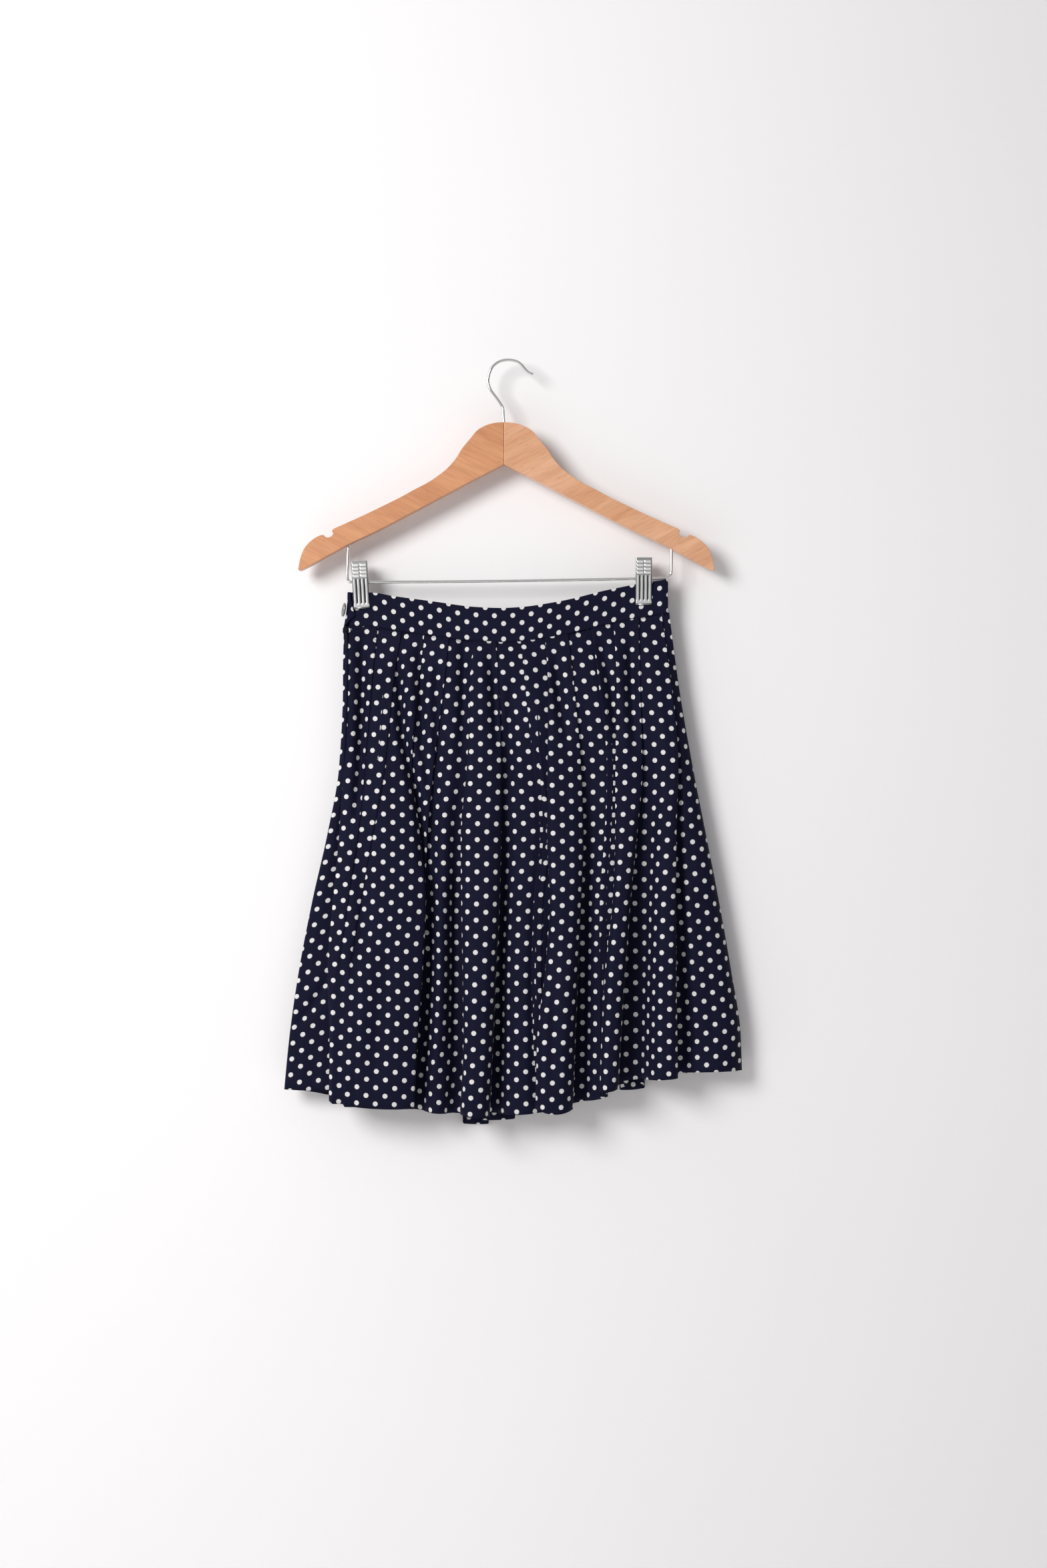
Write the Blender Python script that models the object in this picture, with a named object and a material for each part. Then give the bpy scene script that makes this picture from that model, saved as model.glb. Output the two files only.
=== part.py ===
"""A pleated skirt of dotted navy cloth, hung by its waistband from the two clips of a wooden hanger.

The frame has +Z up, +X to the viewer's right and the front of the skirt towards -Y. The origin is the
top of the inside of the hanger's hook, where a rod or a peg carries it. Tables and sizes are in
millimetres, and a drop is a distance below the origin. Every mesh is made in metres.
"""
import math

import bmesh
import bpy
from mathutils import Matrix, Vector

MM = 0.001
GAP = 0.3                  # between neighbouring pieces
SEAM_GAP = 0.5             # between the band and the pleats, whose seam is not straight

# Cloth
CLOTH = 1.0                # wall of the skirt's cloth
LAYER = 1.3                # from the middle of one pressed layer to the next
BAND_TALL = 35.8
BAND_WALL = 3.0            # waistband: two layers of cloth and its stiffener
TAB_WALL = 2.0
BAND_LEFT = -166.0         # ends of the band's front and back
BAND_RIGHT = 170.8
HEM_INSIDE = 8.0           # how far the inmost layers stand from the middle plane at the hem
SIDE_SEAM_Y = 0.65         # front and back meet this far from the middle plane at the right side

# Zip
ZIP_END = 458.0            # drop of its lower end
TAPE_WIDTH = 8.0
TAPE_WALL = 0.4
PULL_LENGTH = 22.0
PULL_WIDTH = 3.8
PULL_WALL = 1.2
PULL_X = -171.6
PULL_Y = -6.9
PULL_DROP = 286.5          # height of the pin on which the pull turns

SLIDER_Y = -2.2            # back of the slider, on the tape
SLIDER_ASIDE = 0.9         # from the pull's middle to the slider's
CHEEK_ASIDE = 1.45         # from the pull's middle to each of the slider's two cheeks
CHEEK_WALL = 0.8
CHEEK_ROOT = -4.6          # y from which the cheeks stand forward
PIN_WIRE = 0.9
EYE_WIDE = 1.5             # hole in the pull, round the pin

# Button
BUTTON_AT = (-172.55, -2.6, -265.0)
BUTTON_YAW = 192.0         # degrees: the button faces left
BUTTON_TIP = 8.0
BUTTON_HOLES = ((1.3, 1.3), (-1.3, 1.3), (-1.3, -1.3), (1.3, -1.3))
BUTTON_HOLE_WIDE = 1.7

# Hanger
ARM_WIDE = 14.0            # thickness of the wooden arms, front to back
ARM_JOINT_X = -3.6         # where the two halves are glued together
ARM_EDGE = 2.6             # rounding of the arms' edges
ARM_REACH = {"left": 1.0, "right": 1.022}
HOOK_WIRE = 3.2
BAR_WIRE = 3.0
DRILL = 0.35               # room round a wire in its hole
CLIP_ROOM = 0.5            # room round the bar in a clip's flanges
CLIP_WIDE = 17.0
CLIP_SHEET = 0.8
SPRING_WIRE = 1.0
SPRING_TURNS = 4
SPRING_RADIUS = 3.0
SPRING_HALF = 4.2          # half the length of the coil

COLOURS = {
    # slot: colour, roughness, metallic
    "navy_cloth": ((0.011, 0.012, 0.030), 0.75, 0.0),
    "navy_tape": ((0.010, 0.011, 0.024), 0.85, 0.0),
    "navy_enamel": ((0.010, 0.012, 0.030), 0.35, 0.0),
    "pearl_button": ((0.62, 0.62, 0.60), 0.25, 0.0),
    "varnished_wood": ((0.72, 0.32, 0.14), 0.35, 0.0),
    "bright_steel": ((0.62, 0.62, 0.62), 0.22, 1.0),
}

# Waist seam, left to right: its drop, and how far band and cloth stand from the middle plane
WAIST = (
    # x, drop, stand
    (-176, 282.0, 1.95),
    (-146, 282.0, 1.95),
    (-121, 286.0, 3.5),
    (-78, 292.0, 6.3),
    (-35, 297.8, 7.8),
    (-7, 299.0, 8.2),
    (14, 298.0, 8.0),
    (50, 292.8, 7.2),
    (71, 288.5, 6.2),
    (100, 281.0, 4.4),
    (128, 275.0, 2.3),
    (135, 273.6, 1.95),
    (173, 267.5, 1.95),
)

# The waistband's overlap, from its end on the front round the left edge to the back
TAB = (
    # x at the top, x at the bottom, y, drop of the bottom edge
    (-166.4, -161.9, -4.75, 271.0),
    (-167.6, -166.0, -4.75, 274.5),
    (-168.4, -169.6, -4.3, 277.5),
    (-169.2, -172.2, -3.0, 280.0),
    (-169.4, -173.0, -1.2, 281.0),
    (-168.6, -171.6, 0.9, 281.0),
    (-167.0, -168.6, 1.95, 281.0),
)

# How far the loose pleats have opened at each drop, from none to all
OPENING = (
    # drop, share
    (345, 0.0),
    (433, 0.20),
    (504, 0.45),
    (575, 0.68),
    (646, 0.86),
    (717, 0.97),
    (795, 1.0),
)

FRONT_DROPS = (270, 345, 433, 504, 575, 646, 717, 795)

# Front pleats, left to right: the panel on top, the cloth tucked under it at waist and hem, and the
# place of its edge at each of the drops above
FRONT_PLEATS = (
    # top, tuck_waist, tuck_hem, edge x at each drop
    ("left", 9, 4, (-137.5, -143.5, -151, -157.5, -168, -176, -178, -178)),
    ("left", 10, 4, (-109.5, -121, -129.5, -142, -154.5, -164, -165, -165)),
    ("left", 10, 12, (-86, -94, -101, -92.5, -86, -89, -94, -98)),
    ("left", 10, 10, (-59.5, -67, -78, -84.5, -88, -91, -96, -100)),
    ("right", 10, 11, (-35, -38.5, -42.5, -49, -48.5, -47, -46, -49.5)),
    ("left", 10, 11, (-13, -9.5, -6, -6.5, -8, -11.5, -14.5, -18.5)),
    ("right", 10, 10, (11.5, 19, 28, 35, 28, 26, 27.5, 31)),
    ("right", 10, 12, (38, 43, 42.5, 42, 45, 40, 31.5, 29.5)),
    ("left", 10, 12, (62, 70.5, 78, 80.5, 78, 75, 72, 69)),
    ("right", 6, 8, (87.5, 97, 105.5, 103, 98, 97.5, 98, 98)),
    ("right", 6, 8, (112.5, 116, 114.5, 114, 111, 103, 99, 96.5)),
    ("left", 10, 8, (140, 141, 143, 137, 130, 125, 120, 116)),
    ("left", 8, 12, (164, 174, 181, 178.5, 178, 178, 179, 180)),
)

# Front panels between those pleats: the drop of the hem, and how far the open panel stands forward
# of the inmost layers, each at its left side, middle and right side
FRONT_PANELS = (
    # hem_left, hem_mid, hem_right, rise_left, rise_mid, rise_right
    (783, 784.5, 786, 20, 21, 22),
    (786, 787.5, 789, 22, 23, 23),
    (789, 791, 791, 23, 25, 24),
    (792, 793, 794, 12, 12, 12),
    (794.5, 798, 801, 0, 4, -1),
    (797, 799.5, 800, 24, 26, 24),
    (799.5, 799, 796, -1, 5, 0),
    (795, 795, 794.5, 12, 12, 12),
    (790.5, 796, 792, 24, 26, 24),
    (791.5, 787, 780, 0, 5, 0),
    (780, 779, 778, 12, 12, 12),
    (772.5, 772.5, 769.5, 24, 25, 24),
    (768, 763, 759.5, 0, 22, 24),
    (759.5, 755.5, 754.7, 0, 4, -7.3),
)

# Left edge of the front, over the zip and then the side seam, and the skirt's two outlines
FRONT_LEFT = (-168, -170.5, -174, -178, -184.2, -189.1, -187, -187.5)
OUTLINE_LEFT = (-174.5, -174.5, -179, -191.5, -207.6, -221.5, -231.8, -239.5)
OUTLINE_RIGHT = (172.4, 182.2, 197.3, 211.2, 225, 237.5, 248.1, 250.5)
FRONT_LAP = 8.0            # cloth folded under the front at its left edge
LAP_STEP = (2.2, 1.4)      # from that fold to the cloth behind it, at the zip and below it

BACK_DROPS = (270, 433, 600, 795)

BACK_PLEATS = (
    # top, tuck_waist, tuck_hem, edge x at each drop
    ("right", 9, 9, (-149, -160, -178, -197)),
    ("left", 9, 9, (-124, -134, -142, -160)),
    ("right", 9, 9, (-99, -108, -116, -122)),
    ("left", 9, 9, (-74, -80, -90, -98)),
    ("right", 9, 9, (-49, -52, -50, -48)),
    ("left", 9, 7, (-24, -25, -22, -20.5)),
    ("left", 9, 7, (1, 3, 6, 8)),
    ("right", 9, 9, (26, 29, 33, 36)),
    ("left", 9, 9, (51, 57, 62, 66)),
    ("right", 9, 9, (76, 82, 88, 92)),
    ("right", 9, 9, (101, 109, 116, 121)),
    ("left", 9, 9, (126, 134, 142, 148)),
    ("right", 9, 9, (151, 162, 174, 185)),
)

BACK_PANELS = (
    # hem_left, hem_mid, hem_right, rise_left, rise_mid, rise_right
    (777, 780, 783, -7.3, 1, 0),
    (783, 785, 787, 11, 13, 11),
    (787, 788, 789, 0, 2, 0),
    (799.5, 800, 799, 12, 13, 12),
    (790, 793, 796, 0, 2, 0),
    (812, 813, 812.5, 11, 13, 12),
    (807, 807.5, 806, 6, 7, 5),
    (794, 793, 792, 0, 2, 0),
    (790, 790, 789, 11, 13, 11),
    (784, 780, 777, 0, 2, 0),
    (775, 773, 771, 6, 8, 6),
    (779, 779, 777, 12, 13, 12),
    (765, 761, 759, 0, 2, 0),
    (759.5, 757, 755, 9, 6, -7.3),
)
WING_HEM = (777, 775)      # drop of the back's hem where it comes round to the front: seam, outline

# Half of the hanger's outline from the joint out: over the top, round the end, back underneath
ARM_OUTLINE = (
    # reach, drop
    (0, 65.6),
    (11.5, 66.8),
    (19.5, 69.3),
    (28.5, 74.5),
    (37, 84.5),
    (45, 94.3),
    (51, 104),
    (60, 114.5),
    (71, 123.3),
    (82, 130.5),
    (95.5, 137.5),
    (111, 146),
    (144, 162.2),
    (168, 173.2),
    (182, 179.8),
    (181.2, 183.8),
    (183.6, 187),
    (186.5, 188.2),
    (189.5, 187.6),
    (191.7, 185.4),
    (194.5, 185.8),
    (200, 188.2),
    (206.3, 192.9),
    (212, 199.5),
    (216, 209),
    (218.6, 221),
    (217.4, 223),
    (209.5, 220),
    (166, 196),
    (133.5, 180.6),
    (85.5, 155.5),
    (32, 127),
    (0, 110.6),
)

HOOK_LINE = (
    # x, drop: the middle of the wire from the wood up and over
    (-4, 82),
    (-4, 65),
    (-4.3, 56.5),
    (-4.8, 50),
    (-7.1, 45.4),
    (-11.4, 39.2),
    (-17.1, 31.6),
    (-19.9, 25.4),
    (-20.7, 20.8),
    (-19.9, 15.1),
    (-17.1, 7.5),
    (-12.3, 2.3),
    (-6.6, -0.6),
    (-0.9, -1.6),
    (4.8, -1.3),
    (10.5, 0.3),
    (15.1, 3.7),
    (19, 8.4),
    (22.7, 11.8),
    (26.1, 13.2),
)

BAR_LINE = (
    # x, drop: the middle of the wire, from the hole in the left arm to the hole in the right one
    (-169.2, 190.0),
    (-170.3, 215.0),
    (-170.6, 227.5),
    (-170.2, 231.4),
    (-168.9, 233.9),
    (-166.3, 235.0),
    (-147.2, 235.0),
    (-14.2, 234.0),
    (134.0, 231.4),
    (163.5, 230.9),
    (169.5, 230.2),
    (173.0, 227.6),
    (174.4, 223.5),
    (174.6, 193.0),
)

CLIPS = (
    # name, middle x at the bar, drop of the bar, lean in degrees
    ("left", -156.3, 235.0, 3.0),
    ("right", 144.9, 231.2, 0.0),
)

CLIP_SIDE = (
    # height above the jaw, outer face from the middle plane, how far in the side flanges reach
    (0.0, 5.8, 4.9),
    (1.6, 4.75, 3.85),
    (4.0, 5.1, 3.9),
    (15.0, 6.2, 4.4),
    (25.0, 7.5, 5.0),
    (25.4, 7.5, -2.6),
    (32.0, 8.2, -2.6),
    (36.0, 8.6, 4.4),
    (46.0, 9.4, 7.2),
    (50.0, 9.6, 8.3),
)
CLIP_BAR = 28.5            # height of the bar above the jaw


def smooth(keys, values, key):
    """Value at key of the even curve through rising keys, which never swings past its values."""
    if key <= keys[0]:
        return values[0]
    if key >= keys[-1]:
        return values[-1]
    steps = [(values[i + 1] - values[i]) / (keys[i + 1] - keys[i]) for i in range(len(keys) - 1)]
    slopes = [steps[0]]
    for before, after in zip(steps, steps[1:]):
        slopes.append(0.0 if before * after <= 0 else 2 * before * after / (before + after))
    slopes.append(steps[-1])
    i = max(n for n in range(len(keys) - 1) if keys[n] <= key)
    width = keys[i + 1] - keys[i]
    u = (key - keys[i]) / width
    rise = values[i + 1] - values[i]
    bend = slopes[i] * width * u * (1 - u) ** 2 - slopes[i + 1] * width * u ** 2 * (1 - u)
    return values[i] + rise * (3 * u ** 2 - 2 * u ** 3) + bend


def mix(a, b, share):
    return a + (b - a) * share


def seam_drop(x):
    return smooth([row[0] for row in WAIST], [row[1] for row in WAIST], x)


def stand(x):
    return smooth([row[0] for row in WAIST], [row[2] for row in WAIST], x)


def opening(drop):
    return smooth([row[0] for row in OPENING], [row[1] for row in OPENING], drop)


def inmost(x, share):
    """Distance of the inmost layer from the middle plane, share of the way from waist to hem."""
    return mix(stand(x) - LAYER, HEM_INSIDE, share * share * (3 - 2 * share))


class Side:
    """One half of the skirt: its pleats and panels as lines across the cloth at any height.

    A point of a line is its x, its distance y from the middle plane, the drop at which the cloth
    under it ends in the hem, and the x from which it comes at the waist seam.
    """

    def __init__(self, facing, drops, pleats, panels, left, right):
        self.facing = facing          # -1 for the front, +1 for the back
        self.drops = drops
        self.pleats = pleats
        self.panels = panels
        self.left = left
        self.right = right

    def edge(self, i, share):
        """Place of pleat i's edge, share of the way down; pleats 0 and len + 1 are the sides."""
        last = len(self.pleats) + 1
        if i == 0:
            drops, track, hem = FRONT_DROPS, self.left, self.panels[0][0]
        elif i == last:
            drops, track, hem = FRONT_DROPS, self.right, self.panels[-1][2]
        else:
            drops, track, hem = self.drops, self.pleats[i - 1][3], self.panels[i][0]
        drop = mix(seam_drop(track[0]), hem, share)
        return smooth(drops, track, drop), drop

    def fold(self, i, share):
        """Pleat i from left to right: six points, the middle two its turns, the outer two where
        its layers part: one panel's last two points, the turns, the next panel's first two."""
        top, tuck_waist, tuck_hem, track = self.pleats[i - 1]
        x, drop = self.edge(i, share)
        open_share = opening(drop)
        tuck = mix(tuck_waist, tuck_hem, open_share)
        left, right = self.panels[i - 1], self.panels[i]
        base = inmost(x, share)
        left_y = base + left[5] * open_share
        right_y = base + right[3] * open_share
        if top == "left":
            left_y += 2 * LAYER
            far, turn, x_far = x - tuck, -LAYER, track[0] - tuck_waist
            xs = (far, x, x, far, far, x)
            x_tops = (x_far, track[0], track[0], x_far, x_far, track[0])
        else:
            right_y += 2 * LAYER
            far, turn, x_far = x + tuck, LAYER, track[0] + tuck_waist
            xs = (x, far, far, x, x, far)
            x_tops = (track[0], x_far, x_far, track[0], track[0], x_far)
        ys = (left_y, left_y, left_y + turn, right_y - turn, right_y, right_y)
        hems = (left[2], left[2], mix(left[2], right[0], 1 / 3), mix(left[2], right[0], 2 / 3),
                right[0], right[0])
        return list(zip(xs, ys, hems, x_tops))

    def line(self, share, start, end, inside):
        """The whole line from the start points to the end point, with inside points per panel."""
        folds = [start] + [self.fold(i, share) for i in range(1, len(self.pleats) + 1)] + [end]
        points = list(folds[0])
        for i, panel in enumerate(self.panels):
            first, last = folds[i][-1], folds[i + 1][0]
            if first[0] > last[0] - 1:
                # the panel is narrower than its hidden layers: they part half way across
                middle = tuple(mix(a, b, 0.5) for a, b in zip(first, last))
                first = (middle[0] - 0.5, *middle[1:])
                last = (middle[0] + 0.5, *middle[1:])
                points[-1] = first
            hem_hump = panel[1] - (panel[0] + panel[2]) / 2
            y_hump = panel[4] - (panel[3] + panel[5]) / 2
            for n in range(1, inside[i] + 1):
                u = n / (inside[i] + 1)
                hump = 4 * u * (1 - u)
                x, y, hem, x_top = (mix(a, b, u) for a, b in zip(first, last))
                hem += hem_hump * hump
                open_share = opening(mix(seam_drop(x_top), hem, share))
                points.append((x, y + y_hump * hump * open_share, hem, x_top))
            points += [last] + list(folds[i + 1][1:])
        return placed(points, self.facing, share)


def placed(points, facing, share):
    return [Vector((x, facing * y, -mix(seam_drop(x_top), hem, share))) for x, y, hem, x_top in points]


FRONT = Side(-1, FRONT_DROPS, FRONT_PLEATS, FRONT_PANELS, FRONT_LEFT, OUTLINE_RIGHT)
BACK = Side(1, BACK_DROPS, BACK_PLEATS, BACK_PANELS, OUTLINE_LEFT, OUTLINE_RIGHT)


def lap(share):
    """Where the front folds under at its left edge: edge x, drop, wing's y and the fold's y."""
    x, drop = FRONT.edge(0, share)
    below_zip = min(1.0, max(0.0, (drop - ZIP_END) / 60.0))
    wing_y = mix(1.3, 6.5, share * share * (3 - 2 * share))
    step = mix(LAP_STEP[0], LAP_STEP[1], below_zip)
    return x, drop, wing_y, wing_y + step


def front_line(share, inside):
    x, drop, _, fold_y = lap(share)
    rise = FRONT_PANELS[0][3] * opening(drop)
    face_y = max(fold_y + LAYER, inmost(x, share) + 2 * LAYER + rise)
    hem = FRONT_PANELS[0][0]
    right_x, _ = FRONT.edge(len(FRONT_PLEATS) + 1, share)
    end = [(right_x, SIDE_SEAM_Y, FRONT_PANELS[-1][2], OUTLINE_RIGHT[0])]
    line = FRONT.line(share, [(x, face_y, hem, FRONT_LEFT[0])], end, inside)
    fold = ((x + FRONT_LAP, fold_y, hem, FRONT_LEFT[0] + FRONT_LAP),
            (x, face_y - LAYER, hem, FRONT_LEFT[0]))
    return placed(fold, -1, share) + line


def back_line(share, inside, wing_inside):
    """From under the front's left edge out to the left outline, round it, and across the back."""
    x, _, wing_y, _ = lap(share)
    left_x, _ = BACK.edge(0, share)
    round_y = min(wing_y, 3.0)
    start = (x + FRONT_LAP, wing_y, WING_HEM[0], FRONT_LEFT[0] + FRONT_LAP)
    shoulder = (left_x + 0.9 * round_y, 0.75 * round_y, WING_HEM[1], OUTLINE_LEFT[0])
    wing = [start]
    for n in range(1, wing_inside + 1):
        u = n / (wing_inside + 1)
        x, _, hem, x_top = (mix(a, b, u) for a, b in zip(start, shoulder))
        wing.append((x, mix(wing_y, shoulder[1], u ** 3), hem, x_top))
    wing += [shoulder, (left_x, 0.0, WING_HEM[1], OUTLINE_LEFT[0])]
    right_x, _ = BACK.edge(len(BACK_PLEATS) + 1, share)
    first = (left_x + 0.9 * round_y, 0.55 * round_y, WING_HEM[1], OUTLINE_LEFT[0])
    end = [(right_x, SIDE_SEAM_Y, BACK_PANELS[-1][2], OUTLINE_RIGHT[0])]
    return placed(wing, -1, share) + BACK.line(share, [first], end, inside)


def offset(line, distance):
    """The line moved sideways in plan, with mitred corners."""
    moved = []
    for i, point in enumerate(line):
        before = (line[i] - line[i - 1]).xy if i else None
        after = (line[i + 1] - line[i]).xy if i + 1 < len(line) else None
        if before is None:
            before = after
        if after is None:
            after = before
        a = Vector((-before.y, before.x)).normalized()
        b = Vector((-after.y, after.x)).normalized()
        middle = a + b
        if middle.length < 1e-6:
            middle = a
        middle.normalize()
        reach = distance / max(middle.dot(a), 0.6)
        moved.append(Vector((point.x + middle.x * reach, point.y + middle.y * reach, point.z)))
    return moved


def solid(name, verts, faces, slot):
    """A closed body from points in millimetres, its faces turned outwards."""
    mesh = bpy.data.meshes.new(name)
    mesh.from_pydata([tuple(v * MM for v in vert) for vert in verts], [], faces)
    body = bmesh.new()
    body.from_mesh(mesh)
    bmesh.ops.recalc_face_normals(body, faces=body.faces)
    bmesh.ops.triangulate(body, faces=[f for f in body.faces if len(f.verts) > 4])
    body.to_mesh(mesh)
    body.free()
    obj = bpy.data.objects.new(name, mesh)
    bpy.context.scene.collection.objects.link(obj)
    obj.data.materials.append(MATERIALS[slot])
    return obj


def wall(name, lines, thickness, slot):
    """A wall along a stack of lines, top to bottom, half its thickness to each side of them."""
    rings = [offset(line, thickness / 2) + offset(line, -thickness / 2)[::-1] for line in lines]
    return stack(name, rings, slot, strip_caps=True)


def stack(name, rings, slot, strip_caps=False):
    """A closed body through rings of equal length; a strip cap joins a ring's two halves."""
    size = len(rings[0])
    verts = [point for ring in rings for point in ring]
    faces = []
    for r in range(len(rings) - 1):
        for n in range(size):
            m = (n + 1) % size
            faces.append((r * size + n, r * size + m, (r + 1) * size + m, (r + 1) * size + n))
    for base in (0, (len(rings) - 1) * size):
        if strip_caps:
            for n in range(size // 2 - 1):
                faces.append((base + n, base + n + 1, base + size - 2 - n, base + size - 1 - n))
        else:
            faces.append(tuple(range(base, base + size)))
    return solid(name, verts, faces, slot)


def tube(name, path, radii, sides, slot):
    """A round wire along a path, with a radius for each of its points."""
    rings = []
    up = None
    for i, point in enumerate(path):
        ahead = (path[min(i + 1, len(path) - 1)] - path[max(i - 1, 0)]).normalized()
        if up is None:
            up = ahead.orthogonal().normalized()
        up = (up - ahead * up.dot(ahead)).normalized()
        across = ahead.cross(up)
        turns = [2 * math.pi * n / sides for n in range(sides)]
        rings.append([point + (up * math.cos(a) + across * math.sin(a)) * radii[i] for a in turns])
    return stack(name, rings, slot)


def curve_through(points, per_step):
    """Even points on a smooth curve through the given ones."""
    path = []
    for i in range(len(points) - 1):
        a = points[max(i - 1, 0)]
        b, c = points[i], points[i + 1]
        d = points[min(i + 2, len(points) - 1)]
        for n in range(per_step):
            u = n / per_step
            path.append(0.5 * (2 * b + (c - a) * u + (2 * a - 5 * b + 4 * c - d) * u ** 2
                               + (3 * b - a - 3 * c + d) * u ** 3))
    path.append(points[-1].copy())
    return path


def cut(obj, cutter):
    """Take the cutter's shape out of the object; the cutter itself is only a guide."""
    cutter.hide_render = True
    cutter.display_type = "WIRE"
    hole = obj.modifiers.new("Hole", "BOOLEAN")
    hole.object = cutter
    hole.solver = "EXACT"


def bevel(obj, width, segments, angle=35):
    edges = obj.modifiers.new("Rounded edges", "BEVEL")
    edges.width = width * MM
    edges.segments = segments
    edges.limit_method = "ANGLE"
    edges.angle_limit = math.radians(angle)


def make_materials():
    made = {}
    for slot, (colour, roughness, metallic) in COLOURS.items():
        material = bpy.data.materials.new(slot)
        material.use_nodes = True
        shader = material.node_tree.nodes["Principled BSDF"]
        shader.inputs["Base Color"].default_value = (*colour, 1)
        shader.inputs["Roughness"].default_value = roughness
        shader.inputs["Metallic"].default_value = metallic
        made[slot] = material
    return made


def make_skirt():
    levels = (0, 0.07, 0.15, 0.23, 0.30, 0.37, 0.45, 0.55, 0.66, 0.78, 0.90, 1.0)
    inside = [0, 1, 2, 0, 1, 1, 1, 0, 1, 1, 0, 1, 2, 3]
    skirt_front = wall("skirt_front", [front_line(t, inside) for t in levels], CLOTH, "navy_cloth")
    back_levels = (0, 0.10, 0.22, 0.30, 0.40, 0.52, 0.66, 0.82, 1.0)
    inside = [1, 1, 0, 1, 1, 1, 0, 1, 1, 0, 1, 1, 1, 1]
    skirt_back = wall("skirt_back", [back_line(t, inside, 3) for t in back_levels], CLOTH,
                      "navy_cloth")
    return skirt_front, skirt_back


def band_half(name, facing, left, right):
    """Front or back of the waistband, standing on the waist seam."""
    count = 22
    xs = [mix(left, right, n / count) for n in range(count + 1)]
    lines = []
    for height in (BAND_TALL, BAND_TALL / 2, SEAM_GAP):
        lines.append([Vector((x, facing * stand(x), height - seam_drop(x))) for x in xs])
    return wall(name, lines, BAND_WALL, "navy_cloth")


def make_tab():
    """The band's overlap, from the end of the back round the left edge on to the front."""
    lines = []
    for share in (0, 0.3, 0.65, 1):
        line = []
        for x_top, x_low, y, drop_low in TAB:
            z = -mix(seam_drop(x_top) - BAND_TALL, drop_low, share)
            line.append(Vector((mix(x_top, x_low, share * share), y, z)))
        lines.append(line)
    return wall("waistband_tab", lines, TAB_WALL, "navy_cloth")


def make_button():
    """A turned button with a raised rim and four holes, facing left from the tab."""
    profile = (
        # radius, height above its back
        (0.0, 0.0),
        (5.6, 0.0),
        (7.2, 0.9),
        (7.5, 1.7),
        (7.1, 2.6),
        (6.2, 3.0),
        (5.2, 2.6),
        (4.2, 2.1),
        (0.0, 2.0),
    )
    sides = 20
    verts = [Vector((0, 0, profile[0][1])), Vector((0, 0, profile[-1][1]))]
    rows = profile[1:-1]
    for radius, height in rows:
        for n in range(sides):
            a = 2 * math.pi * n / sides
            verts.append(Vector((radius * math.cos(a), radius * math.sin(a), height)))
    faces = []
    for n in range(sides):
        m = (n + 1) % sides
        faces.append((0, 2 + m, 2 + n))
        faces.append((1, 2 + (len(rows) - 1) * sides + n, 2 + (len(rows) - 1) * sides + m))
        for r in range(len(rows) - 1):
            low, high = 2 + r * sides, 2 + (r + 1) * sides
            faces.append((low + n, low + m, high + m, high + n))
    button = solid("waist_button", verts, faces, "pearl_button")
    yaw, tip = math.radians(BUTTON_YAW), math.radians(BUTTON_TIP)
    out = Vector((math.cos(yaw) * math.cos(tip), math.sin(yaw) * math.cos(tip), math.sin(tip)))
    turn = out.to_track_quat("Z", "Y").to_matrix().to_4x4()
    place = Matrix.Translation(Vector(BUTTON_AT) * MM) @ turn
    for x, y in BUTTON_HOLES:
        path = [Vector((x, y, -1)), Vector((x, y, 5))]
        radii = [BUTTON_HOLE_WIDE / 2] * 2
        hole = tube("button_hole", path, radii, 8, "pearl_button")
        hole.data.transform(place)
        cut(button, hole)
    button.data.transform(place)
    return button


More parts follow.
